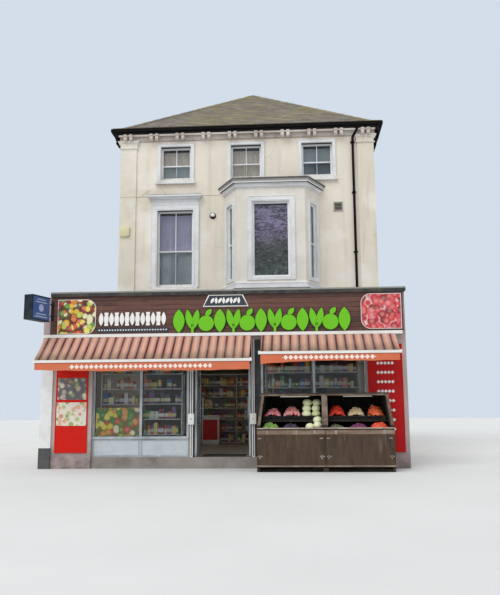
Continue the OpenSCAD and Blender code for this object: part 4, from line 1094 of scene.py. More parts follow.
@dataclass
class Windows:
    """Every sash window, with its box frame, sliding sashes, glazing bars and what is behind it."""

    upper_x: tuple[float, ...] = (-1.915, 0.275, 2.465)
    side_y: Span = (0.54, 4.06)
    upper: Point = (8.34, 0.94, 1.07)
    tall: Point = (4.96, 1.11, 2.4)
    side_h: float = 1.9
    back_window: Span = (1.15, 1.3)
    lining: float = 0.022
    stile: float = 0.034
    meeting: float = 0.036
    bar: float = 0.022
    blind_t: float = 0.004
    vanes: int = 22

    def front(self) -> list[Opening]:
        """Returns the openings of the street front, outside the bay."""
        found = [Opening(shift(x, HOUSE_Y, self.upper[0]), *self.upper[1:], 0.48, cover=cover)
                 for x, cover in zip(self.upper_x, (Cover.MIXED, Cover.VANES, Cover.HALF))]
        return found + [Opening(shift(self.upper_x[0], HOUSE_Y, self.tall[0]), *self.tall[1:], 1.128, cover=Cover.TALL)]

    def others(self) -> list[Opening]:
        """Returns the openings of the sides and the back."""
        walls = [(HOUSE_LEFT, y, -90) for y in self.side_y] + [(RIGHT_X, y, 90) for y in self.side_y]
        walls += [(x, BACK_Y, 180) for x in self.upper_x]
        rows = ((self.upper[0], self.upper[2]), (self.tall[0], self.side_h))
        found = [Opening(shift(x, y, z) @ spin(turn), self.upper[1], height, height / 2, cover=Cover.PALE)
                 for z, height in rows for x, y, turn in walls]
        z, height = self.back_window
        return found + [Opening(shift(self.upper_x[0], BACK_Y, z) @ spin(180), self.upper[1], height, height / 2)]

    def frame(self, shape: Shape, opening: Opening) -> None:
        """Makes a window's frame and sashes.

        Args:
            shape: The mesh that they go into.
            opening: The window's opening.
        """
        half, height, place = opening.width / 2, opening.height, opening.place
        near, far = opening.frame_y, opening.frame_y + opening.frame_d
        middle, rail = (near + far) / 2, opening.rail
        shape.ring((-half, half), (near, far), (0.0, height), self.lining, place)
        shape.prism([(-half, near - out, z) for out, z in ((0.05, 0.0), (0.0, 0.0), (0.0, 0.04), (0.05, 0.022))],
                    (2 * half, 0.0, 0.0), place)
        low, high = self.lining, height - self.lining
        foot, head = about(rail, self.meeting / 2)
        for z, y in ((((foot, high), (near + 0.004, middle)), ((low, head), (middle - 0.009, far - 0.004)))
                     if rail else (((low, high), (near + 0.01, far - 0.01)),)):
            shape.ring(about(0.0, half - self.lining), y, z, self.stile, place)
            if opening.bars:
                shape.box(about(0.0, self.bar / 2), grow(y, -0.006), grow(z, -self.stile), place)
        for side in (-1, 1) if rail else ():
            shape.slab([(side * (half - self.lining - share * self.stile), foot - down)
                        for share, down in ((0.0, 0.0), (1.0, 0.0), (0.6, 0.05), (0.0, 0.07))],
                       (near + 0.006, middle - 0.002), place)

    def sills(self, openings: Sequence[Opening]) -> None:
        """Makes the sills: a flush upper part, a groove and a thin lip that juts out.

        Args:
            openings: The openings that have one.
        """
        shape = Shape()
        for opening in openings:
            lip = opening.width / 2 + (0.18 if opening.cover is Cover.TALL else 0.15)
            for less, y, z in ((0.04, (-0.052, 0.11), (-0.075, 0.0)), (0.04, (-0.03, 0.0), (-0.091, -0.075)),
                               (0.0, (-0.11, 0.0), (-0.15, -0.091))):
                shape.box(about(0.0, lip - less), y, z, opening.place)
        shape.piece("sills", Finishes.sill, "white_moulding", "window_sills", bevel=0.004)

    def front_trims(self) -> None:
        """Makes the dark head strips, which paint the shade under the window heads, and the peeling bottom rails of the
        front's windows.
        """
        heads, rails = Shape(), Shape()
        for opening in self.front():
            half, y = opening.width / 2, opening.frame_y
            # Painted shade: a thin dark strip at the head of each opening stands in for the shade under the reveal's
            # head.
            heads.box((-half, half), (0.004, y + 0.012), (opening.height - 0.007, opening.height), opening.place)
            rails.box(about(0.0, half - self.lining), (y + 0.034, y + 0.046), (0.028, 0.105), opening.place)
        heads.piece("head_shade_strips", Finishes.dark_frame, "painted_timber", bevel=0.001)
        rails.piece("bottom_rails", Finishes.sill, "painted_timber", bevel=0.003)

    def cover(self, shapes: dict[str, Shape], opening: Opening) -> None:
        """Makes what is behind a window.

        Args:
            shapes: The meshes by the names of their pieces.
            opening: The window's opening.
        """
        half, height, rail, place = opening.width / 2, opening.height, opening.rail, opening.place
        upper, lower, back = opening.cover.value
        y = opening.frame_y + opening.frame_d + 0.03
        if opening.cover is Cover.PALE:
            drop = 0.35 + 0.3 * math.sin(13 * place.translation.x + 7 * place.translation.y)
            rail = height * (1 - drop)
            shapes[upper].rod((-half, y + 0.002, rail), (half, y + 0.002, rail), 0.012, place=place)
        elif upper:
            # Painted shade: a dark headrail behind the glass at the window's head stands in for the shade under the
            # head.
            shapes["headrail_shades"].box((-half, half), (y - 0.012, y - 0.002), (height - 0.11, height), place)
        if upper == "vane_blinds":
            low, step = rail if lower != upper else 0.002, 2 * half / self.vanes
            shapes[upper].skin(self.vanes, 1, lambda i, j: (step * i - half, y + 0.02 * (i % 2),
                                                            low + j * (height - 0.002 - low)), place)
        elif upper:
            shapes[upper].box((-half, half), (y, y + self.blind_t), (rail, height), place)
        if lower and lower != upper:
            shapes[lower].box((-half, half), (y + back, y + back + self.blind_t), (0.0, rail), place)

    def build(self) -> None:
        """Makes every window's pieces."""
        openings = self.front() + self.others()
        self.sills(openings)
        self.front_trims()
        for name, node, row in (("sash_frames", "sash_windows", openings),
                                ("bay_sash_frames", "bay_sashes", BayWindow().openings())):
            frames = Shape()
            for opening in row:
                self.frame(frames, opening)
            frames.piece(name, Finishes.sash, "painted_timber", node)
        finishes = {"vane_blinds": Finishes.beige_blind, "mauve_blind": Finishes.mauve_blind,
                    "grey_blinds": Finishes.grey_blind, "pale_blinds": Finishes.pale_blind,
                    "headrail_shades": Finishes.dark_frame, "dim_curtain": Finishes.dim_blind}
        shapes = {name: Shape() for name in finishes}
        for opening in openings:
            self.cover(shapes, opening)
        shapes["vane_blinds"].thicken(0.002)
        for name, finish in finishes.items():
            shapes[name].piece(name, finish, "painted_timber", recalc=name != "vane_blinds")


# The front of the house


@dataclass
class BayWindow:
    """The canted bay: its mouldings, its lead roof's rolls and what shows in its windows."""

    centre: float = 1.05
    half: float = 1.43
    front_half: float = 1.0
    depth: float = 0.8
    window_z: float = 5.08
    window_h: float = 2.26
    front_w: float = 1.09
    side_w: float = 0.44
    side_in: float = 0.417
    rail: float = 1.062
    roof_z: float = 7.99
    roof_rise: float = 0.17
    fillets: tuple[tuple[Span, float], ...] = (
        ((7.755, 7.79), 0.03), ((7.785, 7.805), 0.078), ((7.855, 7.882), 0.1), ((7.88, 7.906), 0.158),
        ((7.965, 7.99), 0.165), ((4.9, 4.925), 0.05), ((4.878, 4.902), 0.078), ((4.75, 4.775), 0.078))

    def __post_init__(self) -> None:
        """Works out how far the side faces turn from the depth, in radians, and the front of the bay."""
        self.turn = math.atan((self.half - self.front_half) / self.depth)
        self.front_y = HOUSE_Y - self.depth

    def openings(self) -> list[Opening]:
        """Returns the bay's three openings."""
        found = [Opening(shift(self.centre, self.front_y, self.window_z), self.front_w, self.window_h, 0.0,
                         0.04, 0.07, False)]
        for side in (1, -1):
            place = (shift(self.centre, HOUSE_Y) @ Matrix.Diagonal((side, 1.0, 1.0, 1.0)) @ shift(-self.half, 0.0)
                     @ tilt(self.turn - math.pi / 2, "Z") @ shift(self.side_in, 0.0, self.window_z + 0.0003))
            found.append(Opening(place, self.side_w - 0.0006, self.window_h - 0.0006, self.rail, 0.04, 0.07, False))
        return found

    def plan(self, out: float) -> list[Span]:
        """Returns the corners of the bay's plan from left to right, set out from its faces."""
        wall, front = (half + out * more / math.cos(self.turn)
                       for half, more in ((self.half, 1), (self.front_half, 1 - math.sin(self.turn))))
        return [(self.centre - wall, HOUSE_Y), (self.centre - front, self.front_y - out),
                (self.centre + front, self.front_y - out), (self.centre + wall, HOUSE_Y)]

    def run(self, shape: Shape, profile: Sequence[Span]) -> None:
        """Runs a moulding round the bay, by how far out and how high its points are."""
        plans = [self.plan(out) for out, _ in profile]
        shape.skin(3, len(profile) - 1, lambda i, j: (*plans[j][i], profile[j][1]))

    def roof(self) -> None:
        """Makes the rolls of the lead roof, and its dressed edge."""
        shape = Shape()
        (x0, y), (x1, _) = self.plan(0.16)[1:3]
        low, high = self.roof_z + 0.03, self.roof_z + self.roof_rise
        for share, radius in ((0.0, 0.022), (1.0, 0.022), (0.25, 0.018), (0.5, 0.018), (0.75, 0.018)):
            shape.rod((x0 + share * (x1 - x0), y, low),
                      (self.centre + (2 * share - 1) * self.front_half, HOUSE_Y - 0.06, high), radius, sides=10)
        self.run(shape, [(0.181, self.roof_z - 0.02), (0.188, self.roof_z - 0.02), (0.188, self.roof_z + 0.034),
                         (0.15, self.roof_z + 0.045)])
        shape.piece("bay_roof_rolls", Finishes.bay_lead, "lead", smooth=True)

    def build(self) -> None:
        """Makes the bay's fillets, its roof, the printed panel behind its front window and the side blinds."""
        shape = Shape()
        for (low, high), out in self.fillets:
            self.run(shape, [(0.0, low), (out, low), (out, high), (0.0, high)])
        shape.piece("bay_fillets", Finishes.moulding, "white_moulding")
        self.roof()
        x, y = about(self.centre, self.front_w / 2 + 0.02), self.front_y + 0.156
        top = self.window_z + self.window_h
        Shape((x, (y, y + 0.004), grow((self.window_z, top), 0.02))).piece("bay_panel", Finishes.foliage,
                                                                           "painted_timber")
        # Painted shade: a dark headrail behind the front window's head stands in for the shade under the head.
        Shape((x, (y - 0.03, y - 0.004), (top - 0.075, top))).piece("bay_shade_headrail", Finishes.dark_frame, "dark_frame",
                                                                   bevel=0.002)
        shape = Shape()
        for opening in self.openings()[1:]:
            shape.box(about(0.0, self.side_w / 2), (0.125, 0.129), (0.0, self.window_h - 0.002), opening.place)
        shape.piece("bay_side_blinds", Finishes.pale_blind, "painted_timber")


@dataclass
class HouseTrim:
    """Fine mouldings on the front of the house, and the small fittings there."""

    relief: float = 0.045
    bead: float = 0.016
    string: Span = (7.815, 7.85)
    pilaster_w: float = 0.5
    cap_runs: tuple[Point, ...] = ((9.372, 0.022, 0.042), (9.5, 0.035, 0.045), (9.54, 0.05, 0.06), (9.585, 0.03, 0.085))

    def architraves(self) -> None:
        """Makes raised edges on the plain surrounds of the front's windows."""
        shape = Shape()
        rows = [(o, 0.18 if o.cover is Cover.TALL else 0.10, self.relief, 0.0) for o in Windows().front()]
        rows += [(o, band, 0.035, -0.3 * band) for o, band in zip(BayWindow().openings(), (0.16, 0.09, 0.09))]
        for opening, band, out, start in rows:
            for edge in (band, band * 0.28):
                far, top = opening.width / 2 + edge, opening.height + edge
                depth = (-out - 0.012, -out + 0.002)
                for side in (-1, 1):
                    shape.box((side * far, side * (far - self.bead)), depth, (start, top), opening.place)
                shape.box(about(0.0, far - self.bead), depth, (top - self.bead, top), opening.place)
        shape.piece("architrave_edges", Finishes.moulding, "white_moulding", bevel=0.004)

    def runs(self) -> None:
        """Makes the thin course left of the bay, and the small mouldings round the pilasters' capitals."""
        front, corner = HOUSE_Y - self.relief, HOUSE_LEFT + self.pilaster_w
        Shape(((HOUSE_LEFT, corner), (front - 0.014, front), self.string),
              ((corner, -0.56), (HOUSE_Y - 0.016, HOUSE_Y), self.string)
              ).piece("string_course", Finishes.stucco, "cream_stucco", bevel=0.005)
        Shape(*((grow((x, x + self.pilaster_w), out), (front - out, HOUSE_Y), (z, z + high))
                for x in (HOUSE_LEFT, RIGHT_X - self.pilaster_w) for z, high, out in self.cap_runs)
              ).piece("pilaster_cap_runs", Finishes.capital, "cream_stucco", bevel=0.005)

    def vent(self) -> None:
        """Makes the louvred vent."""
        x, y, z = limits_of("wall_vent")
        shape = Shape()
        shape.ring(x, y, z, 0.035)
        for i in range(5):
            shape.box(grow(x, -0.034), (-0.014, 0.014), (-0.003, 0.003),
                      shift(0.0, y[0] + 0.011, z[0] + 0.063 + i * 0.046) @ tilt(0.6, "X"))
        shape.piece("vent_louvres", Finishes.vent, "shelf_metal", "wall_vent")
        # Painted shade: a dark plate behind the louvres stands in for the shade inside the vent.
        Shape((grow(x, -0.03), (y[1] - 0.003, y[1]), grow(z, -0.03))
              ).piece("vent_shade_back", Finishes.rubber, "dark_frame", bevel=0.001)

    def hood(self) -> None:
        """Makes the dark lead strip over the tall window's hood, which also paints the shadow line there, and the lines
        under it.
        """
        x, y, z = limits_of("tall_window_surround")
        # Lead flashing kept dark, standing in for the shadow line along the hood's top: painted shade.
        Shape((grow(x, 0.002), (y[0] - 0.004, HOUSE_Y), (z[1] - 0.002, z[1] + 0.008))
              ).piece("hood_shade_lead", Finishes.lead, "lead", bevel=0.002)
        Shape((grow(x, -0.05), (HOUSE_Y - 0.06, HOUSE_Y), (7.69, 7.706)),
              (grow(x, -0.09), (HOUSE_Y - 0.055, HOUSE_Y), (7.535, 7.55))
              ).piece("hood_lines", Finishes.moulding, "white_moulding", bevel=0.003)

    def lamp(self) -> None:
        """Makes the round bulkhead lamp: a black back plate and hood, and an opal dome."""
        (left, right), (_, back), limits = limits_of("wall_lamp")
        x, z, radius = (left + right) / 2, sum(limits) / 2, (right - left) / 2
        dome, hood = Shape(), Shape()
        dome.ball((x, back - 0.025, z + 0.012), (radius - 0.03, 0.06, radius - 0.032), 28, 14)
        dome.piece("lamp_dome", Finishes.opal, "lamp_white", "wall_lamp", smooth=True)
        plate = ((x, back, z), (x, back - 0.03, z), radius, radius - 0.006, 32)
        hood.rod(*plate)
        hood.ball((x, back - 0.026, z), (radius - 0.02, 0.064, radius - 0.016), 28, 14)
        hood.cut((x, back - 0.031, z - 0.03), (0.0, -0.35, 1.0))
        hood.rod(*plate)
        hood.piece("lamp_hood", Finishes.rubber, "black_iron", smooth=True)

    def build(self) -> None:
        """Makes the trim's pieces, the last of them the alarm's bevelled cover and foot."""
        self.architraves()
        self.runs()
        self.hood()
        self.vent()
        self.lamp()
        x, y, (low, high) = limits_of("alarm_box")
        Shape((x, y, (low + 0.02, high)), (grow(x, -0.04), (y[0] + 0.012, y[1]), (low, low + 0.03))
              ).piece("alarm_cover", Finishes.alarm, "alarm_cream", "alarm_box", bevel=0.016, steps=2, smooth=True)


# Signs


@dataclass
class Signs:
    """The planked signboard under its lead coping, what is mounted on it, and the projecting sign."""

    board_x: Span = (-4.01, 4.15)
    board_z: Span = (3.03, 3.95)
    planks: int = 8
    plank_t: float = 0.032
    joint: float = 0.004
    panel_y: float = SIGN_Y - 0.03
    fruit: tuple[Span, Span] = ((-3.83, -2.93), (3.06, 3.87))
    meat: tuple[Span, Span] = ((3.20, 4.11), (3.09, 3.90))
    corner: float = 0.22
    greens: tuple[Span, Span] = ((-1.13, 2.98), (3.05, 3.60))
    whites: tuple[Span, Span] = ((-2.86, -1.27), (3.24, 3.55))
    strip: tuple[Span, Span] = ((-2.89, -1.22), (3.085, 3.195))
    plaque: tuple[Span, Span] = ((-0.42, 0.64), (3.65, 3.93))
    shapes: int = 13
    dots: int = 26
    hanging_at: Span = (-3.965, 3.32)
    hanging_turn: float = -17.0
    hanging_size: Point = (0.225, 0.64, 0.56)
    hanging_arm: float = 0.245
    bars: tuple[Span, ...] = ((0.07, 0.1), (0.13, 0.14), (0.4, 0.12), (0.46, 0.17))

    def board(self) -> None:
        """Makes the planks and the board behind them."""
        chance, shape, (left, right) = random.Random(5), Shape(), self.board_x
        back = SIGN_Y + self.plank_t
        half = (self.board_z[1] - self.board_z[0]) / self.planks / 2 - self.joint / 2
        for z in spread(self.board_z, self.planks):
            joint = chance.uniform(-2.6, 3.2)
            for x in ((left, joint - 0.001), (joint + 0.001, right)):
                shape.box(x, (SIGN_Y, back), about(z, half))
        shape.piece("sign_planks", Finishes.planks, "sign_timber", "signboard", bevel=0.003)
        Shape((self.board_x, (back, FRONT_Y), self.board_z)).piece("sign_backing", Finishes.rubber, "sign_timber")

    def pictures(self) -> None:
        """Makes two panels with generic prints, each on a pale backing, with the corners of one side rounded."""
        for name, limits, side, finish in (("fruit_panel", self.fruit, 1, Finishes.fruit_print),
                                           ("red_panel", self.meat, -1, Finishes.meat_print)):
            for part, look, inset, radius, y in (
                    ("_edge", Finishes.white_sign, 0.0, self.corner, (self.panel_y + 0.004, SIGN_Y)),
                    ("", finish, 0.012, self.corner - 0.01, (self.panel_y, self.panel_y + 0.003))):
                x, (low, high) = (grow(axis, -inset) for axis in limits)
                far, near = x[::side]
                arcs = [(near + side * radius * (math.cos(turn) - 1), middle + radius * math.sin(turn))
                        for first, middle in ((-4, low + radius), (0, high - radius))
                        for turn in (math.pi * (first + k / 2) / 8 for k in range(9))]
                shape = Shape()
                shape.slab([(far, low), *arcs, (far, high)], y)
                shape.piece(name + part, look, "sign_timber")

    def leaf(self, shape: Shape, x: float, z: float, size: Span, y: Span, lean: float = 0.0) -> None:
        """Adds a leaf of a width and length about a middle, between limits along Y, that leans by some degrees."""
        side = [(math.sin(math.pi * k / 7) ** 0.8 * size[0] / 2, (k / 7 - 0.5) * size[1]) for k in range(8)]
        shape.slab(side + [(-across, up) for across, up in side[-2:0:-1]], y,
                   shift(x, 0.0, z) @ tilt(math.radians(lean), "Y"))

    def greens_row(self) -> None:
        """Makes the row of large raised shapes, leaves, sprigs and rounds in turn, on darker backs."""
        low, high = self.greens[1]
        middle, height = (low + high) / 2, high - low
        for name, finish, more, y in (("green_backs", Finishes.green_back, 0.03, (SIGN_Y - 0.028, SIGN_Y)),
                                      ("green_shapes", Finishes.green_sign, 0.0, (SIGN_Y - 0.055, SIGN_Y - 0.028))):
            shape = Shape()
            for i, x in enumerate(spread(self.greens[0], self.shapes)):
                if i % 3 == 0:
                    self.leaf(shape, x, middle, (0.27 + more, height + more), y)
                elif i % 3 == 1:
                    for side in (-1, 1):
                        self.leaf(shape, x + side * 0.078, middle + 0.04, (0.16 + more, 0.47 + more), y, side * 12.0)
                    shape.box(about(x, 0.03 + more / 2), y, (low - more / 2, low + 0.2))
                else:
                    shape.rod((x, y[1], middle - 0.06), (x, y[0], middle - 0.06), 0.18 + more / 2, sides=28)
                    self.leaf(shape, x + 0.055, high - 0.09, (0.12 + more, 0.22 + more), y, 40.0)
            shape.piece(name, finish, "sign_timber", bevel=0.005, smooth=True)

    def small_rows(self) -> None:
        """Makes the row of slender white leaves, and the dark strip with pale dots below it."""
        shape, (low, high) = Shape(), self.whites[1]
        for i, x in enumerate(spread(self.whites[0], self.shapes)):
            self.leaf(shape, x, (low + high) / 2, (0.108, high - low), (SIGN_Y - 0.03, SIGN_Y))
            for z in (low, high - 0.05) if i % 2 else ():
                shape.box(about(x, 0.045), (SIGN_Y - 0.028, SIGN_Y), (z, z + 0.05))
        limits, z = self.strip
        first, last = grow(limits, -0.05)
        for i in range(self.dots):
            x = first + i * (last - first) / (self.dots - 1)
            shape.rod((x, SIGN_Y - 0.012, sum(z) / 2), (x, SIGN_Y - 0.018, sum(z) / 2), 0.017, sides=10)
        shape.piece("white_shapes", Finishes.white_sign, "sign_timber")
        Shape((limits, (SIGN_Y - 0.012, SIGN_Y), z)).piece("dotted_strip", Finishes.slate_sign, "sign_timber",
                                                           bevel=0.003)

    def plaque_pieces(self) -> None:
        """Makes the plaque over the green shapes, with a pale rim."""
        x, z = self.plaque
        for name, inset, near, finish in (("plaque_rim", 0.0, 0.03, Finishes.white_sign),
                                          ("plaque_face", 0.022, 0.036, Finishes.slate_sign)):
            shape, (low, high) = Shape(), grow(z, -inset)
            foot, head = grow(x, -1.3 * inset), grow(x, -inset - 0.13)
            shape.slab([(foot[0], low), (foot[1], low), (head[1], high), (head[0], high)], (SIGN_Y - near, SIGN_Y))
            shape.piece(name, finish, "sign_timber", bevel=0.004)
        shape = Shape()
        for i in range(8):
            self.leaf(shape, sum(x) / 2 + (i - 3.5) * 0.087, sum(z) / 2, (0.066, 0.15),
                      (SIGN_Y - 0.042, SIGN_Y - 0.03), 0.0 if i % 2 else 30.0)
        shape.piece("plaque_leaves", Finishes.white_sign, "sign_timber")

    def hanging_sign(self) -> None:
        """Makes the box sign on its arms, with plain lit faces."""
        (x, z), (width, out, height) = self.hanging_at, self.hanging_size
        place = shift(x, SIGN_Y, z) @ spin(self.hanging_turn)
        near, far = -self.hanging_arm - out, -self.hanging_arm
        inside = (0.025, height - 0.025)
        case, faces, edges, marks = (Shape() for _ in range(4))
        case.box(about(0.0, width / 2 - 0.012), (near, far), (0.0, height), place)
        for low in (0.25 * height, 0.75 * height):
            case.box((-0.015, 0.015), (far, 0.0), (low, low + 0.03), place)
        case.box(about(x, 0.03), (SIGN_Y - 0.008, SIGN_Y), (z + 0.1 * height, z + 0.9 * height))
        for side in (-1, 1):
            rim, face, back = (side * (width / 2 - inset) for inset in (0.0, 0.006, 0.012))
            for y, level in (((near, far), (0.0, 0.025)), ((near, far), (height - 0.025, height)),
                             ((near, near + 0.03), inside)):
                case.box((back, rim), y, level, place)
            faces.box((back, face), (near + 0.03, far - 0.02), inside, place)
            edges.box((back, rim), (far - 0.02, far), inside, place)
            for low, inset in self.bars:
                marks.box((face, face + side * 0.003), (near + inset, far - inset), (low, low + 0.026), place)
            marks.rod((face, (near + far) / 2, 0.285), (face + side * 0.003, (near + far) / 2, 0.285), 0.085,
                      sides=32, place=place)
        case.piece("hanging_sign_case", Finishes.black_metal, "blue_sign", "projecting_sign")
        faces.piece("hanging_sign_faces", Finishes.blue_sign, "blue_sign")
        edges.piece("hanging_sign_edges", Finishes.sign_edge, "blue_sign", bevel=0.002)
        marks.piece("hanging_sign_marks", Finishes.blue_pale, "blue_sign")

    def build(self) -> None:
        """Makes every sign, and the laps and drip of the lead coping over them."""
        self.board()
        self.pictures()
        self.greens_row()
        self.small_rows()
        self.plaque_pieces()
        x, y, z = limits_of("lead_coping")
        laps = [(about(x[0] + 0.7 + 1.5 * i, 0.03), grow(y, 0.003), (z[0] + 0.004, z[1] + 0.004)) for i in range(6)]
        drip = (x, (y[0] - 0.008, y[0]), (z[0] - 0.015, z[0] + 0.01))
        Shape(*laps, drip).piece("coping_laps", Finishes.coping, "lead", bevel=0.003)
        self.hanging_sign()


# Shop front


@dataclass
class ShopFront:
    """Glazing beads, window film, pier boards, shutter guides, door furniture and the mat."""

    lights: tuple[Span, ...] = ((-2.95, -1.903), (-1.845, -0.81), (0.95, 2.081), (2.139, 3.25))
    light_z: Span = (0.71, 2.85)
    glass_y: Span = (-6.564, -6.556)
    glaze_y: Span = (-6.6, -6.52)
    risers: tuple[Span, ...] = ((-3.0, -1.874), (-1.874, -0.76), (0.9, 2.11), (2.11, 3.3))
    board_y: float = FRONT_Y - 0.02
    guides: Span = (-0.695, 0.72)
    guide_half: float = 0.035
    guide_y: float = -6.65
    lock_z: Span = (0.975, 1.22)

    def glazing(self) -> None:
        """Makes the beads and gaskets of the panes, the film behind the first, and the risers' thin frames."""
        bead, gasket, frames = Shape(), Shape(), Shape()
        (near, far), (front, back) = self.glaze_y, self.glass_y
        for x in self.lights:
            for y in ((near - 0.004, near + 0.02), (far - 0.02, far + 0.004)):
                bead.ring(grow(x, 0.018), y, grow(self.light_z, 0.018), 0.02)
            for y in ((front - 0.005, front), (back, back + 0.005)):
                gasket.ring(x, y, self.light_z, 0.009)
        for x in self.risers:
            frames.ring(grow(x, -0.012), (near - 0.006, near), (FLOOR_Z + 0.01, 0.65), 0.035)
        bead.piece("glazing_beads", Finishes.aluminium, "aluminium_frame", bevel=0.003)
        gasket.piece("glazing_gaskets", Finishes.rubber, "dark_frame")
        film = Shape((grow(self.lights[0], -0.012), (back + 0.0005, back + 0.002), (0.72, 1.36)))
        film.piece("window_film", Finishes.film_print, "clear_glass")
        frames.piece("riser_frames", Finishes.aluminium, "aluminium_frame", bevel=0.002)

    def boards(self) -> None:
        """Makes the generic printed panels on the left pier's board, both boards' trims and plain lozenges."""
        y = (self.board_y - 0.005, self.board_y)
        for name, x, z, finish in (("upper_print", (-3.80, -3.13), (1.55, 2.05), Finishes.dish_print),
                                   ("lower_print", (-3.815, -3.115), (0.96, 1.49), Finishes.pale_print)):
            Shape((x, y, z)).piece(name, finish, "red_board", bevel=0.0015)
        for side, finish in (("left", Finishes.red_board), ("right", Finishes.dark_red_board)):
            shape, (x, (front, _), z) = Shape(), limits_of(side + "_pier_board")
            shape.ring(x, (front - 0.008, front), z, 0.018)
            shape.piece(side + "_board_trim", finish, "red_board", bevel=0.003)
        shape = Shape()
        for i in range(9):
            for k in range(-2, 3):
                shape.box((-0.028, 0.028), (front - 0.004, front), (-0.028, 0.028),
                          shift(sum(x) / 2 + 0.08 * k, 0.0, z[1] - 0.22 - i * 0.21) @ tilt(math.pi / 4, "Y"))
        shape.piece("right_board_lozenges", Finishes.white_sign, "red_board")

    def shutter(self) -> None:
        """Makes the shutter's guides, with their slots, and the lock boxes."""
        shape, slots, front = Shape(), Shape(), self.guide_y
        for x in self.guides:
            shape.box(about(x, self.guide_half), (front, self.glaze_y[0]), (FLOOR_Z, 2.9))
            shape.box(about(x, 0.07), (front - 0.07, front), self.lock_z)
            for z in ((FLOOR_Z + 0.02, self.lock_z[0]), (self.lock_z[1], 2.88)):
                slots.box(about(x, 0.009), (front - 0.001, front + 0.004), z)
            slots.rod((x, front - 0.069, 1.1), (x, front - 0.074, 1.1), 0.014, sides=16)
        shape.piece("shutter_guides_detailed", Finishes.white_metal, "white_metal", "shutter_guides", bevel=0.004,
                    steps=2, smooth=True)
        slots.piece("shutter_slots", Finishes.rubber, "dark_frame")

    def leaf_parts(self) -> None:
        """Makes the beads, gaskets, lock and push plate of each door leaf, in a frame with X and Y exchanged."""
        for side, body in (("left", Body.LEFT_LEAF), ("right", Body.RIGHT_LEAF)):
            x, y, z = limits_of(side + "_door_glass")
            turned = shift(sum(x) / 2, 0.0) @ Matrix(((0, 1, 0, 0), (1, 0, 0, 0), (0, 0, 1, 0), (0, 0, 0, 1)))
            bead, gasket, lock = Shape(), Shape(), y[1] + 0.03
            for way in (-1, 1):
                bead.ring(grow(y, 0.01), (way * 0.012, way * 0.026), grow(z, 0.01), 0.018, turned)
                gasket.ring(y, (way * 0.0045, way * 0.012), z, 0.008, turned)
                bead.rod((lock, way * 0.022, 1.02), (lock, way * 0.03, 1.02), 0.013, sides=16, place=turned)
                bead.box(y, (way * 0.022, way * 0.0255), (0.3, 0.46), turned)
            bead.piece(side + "_leaf_beads", Finishes.aluminium, "aluminium_frame", body=body)
            gasket.piece(side + "_leaf_gaskets", Finishes.rubber, "dark_frame", body=body)

    def build(self) -> None:
        """Makes the shop front's pieces."""
        self.glazing()
        self.boards()
        self.shutter()
        self.leaf_parts()
        mat = Shape(((-0.5, 0.52), (-6.4, -5.7), (FLOOR_Z, FLOOR_Z + 0.004)))
        mat.piece("door_mat", Finishes.mat, "floor_boards")


@dataclass
class Awning:
    """One awning: its stretched cloth from the rail to the front bar, and the valance that hangs under the bar."""

    side: str
    x: Span
    bar_z: float
    pitch: float
    first: float
    drop: float
    end_rise: float
    inset: float = 0.05
    arms_in: float = 0.5
    rail: Span = (-6.872, 2.9685)
    bar_y: float = -7.45
    bar_half: float = 0.035
    thickness: float = 0.0025

    def sag(self, x: float, share: float) -> Point:
        """Returns how a point of the cloth sags between its ends and its seams, by its share of the way down."""
        swell = math.sin(math.pi * min(1.0, share * 14 / 12))
        return (0.0, 0.0, -0.012 * swell * (0.6 + 0.4 * math.cos(math.tau * x / 1.6))
                - 0.004 * swell * math.sin(math.tau * (x - self.first) / self.pitch))

    def wave(self, x: float, share: float) -> Point:
        """Returns how a point of the valance waves, and rises or falls towards the left end."""
        ripple = 0.007 * math.sin(math.tau * x / 1.9) + 0.004 * math.sin(math.tau * x / 0.5)
        return (0.0, 0.008 * share * (math.sin(math.tau * x / 0.62) + 0.6 * math.sin(math.tau * x / 0.27 + 1.0)),
                share * (self.end_rise * math.exp((self.x[0] - x) / 0.45) + ripple))

    def cloths(self) -> None:
        (left, right), (x0, x1), front = self.x, grow(self.x, -self.inset), self.bar_y - self.bar_half
        low, top = about(self.bar_z, self.bar_half)
        ends = tuple(zip(self.rail, (front - 0.001, top + 0.006)))
        fall = [tuple(a + (b - a) * t / 12 for a, b in ends) for t in range(13)]
        fall += [(front - 0.004, top), (front - 0.0035, top - 0.008)]
        stripes = AwningCloth(self.side + "_stripes", self.first - 0.07 * self.pitch, self.pitch, top)
        plain = ValanceCloth(self.side + "_valance", low - 0.5 * self.drop, left + 0.17 * (right - left),
                             right - 0.18 * (right - left), low)
        for name, line, bend, finish, rests_on, nodes in (
                ("_awning_cloth", fall, self.sag, stripes, ["awning_bars", "awning_rail"], [self.side + "_awning"]),
                ("_valance", [(front + 0.012, low - self.drop * t / 6) for t in range(7)], self.wave, plain,
                 ["awning_bars"], [])):
            shape, columns, rows = Shape(), round((x1 - x0) / 0.05), len(line) - 1
            xs = [x0 + (x1 - x0) * i / columns for i in range(columns + 1)]
            shape.skin(columns, rows, lambda i, j: tuple(map(sum, zip((xs[i], *line[j]), bend(xs[i], j / rows)))))
            shape.thicken(self.thickness)
            made = shape.piece(self.side + name, finish, "awning_cloth", *nodes, smooth=True, recalc=False)

    def build(self) -> None:
        """Makes the awning's cloths, the end caps of its bar and the pivots of its arms."""
        self.cloths()
        shape, (left, right) = Shape(), self.x
        for x in ((left, left + 0.006), (right, right - 0.006)):
            shape.box(x, about(self.bar_y, 0.037), about(self.bar_z, 0.037))
        for x in grow(self.x, -self.arms_in):
            for y, z in ((-6.83, 2.83), (self.bar_y + 0.06, self.bar_z)):
                shape.rod((x, y, z - 0.03), (x, y, z + 0.03), 0.03, sides=16)
        shape.piece(self.side + "_awning_fittings", Finishes.white_metal, "white_metal", bevel=0.003, smooth=True)


# Produce stand


@dataclass(frozen=True)
class Crop:
    """One kind of produce: its finish, and the size and number of its pieces in a crate."""

    finish: Skin
    radii: Point
    count: int = 0
    rise: float = 0.0
    lean: float = 0.0


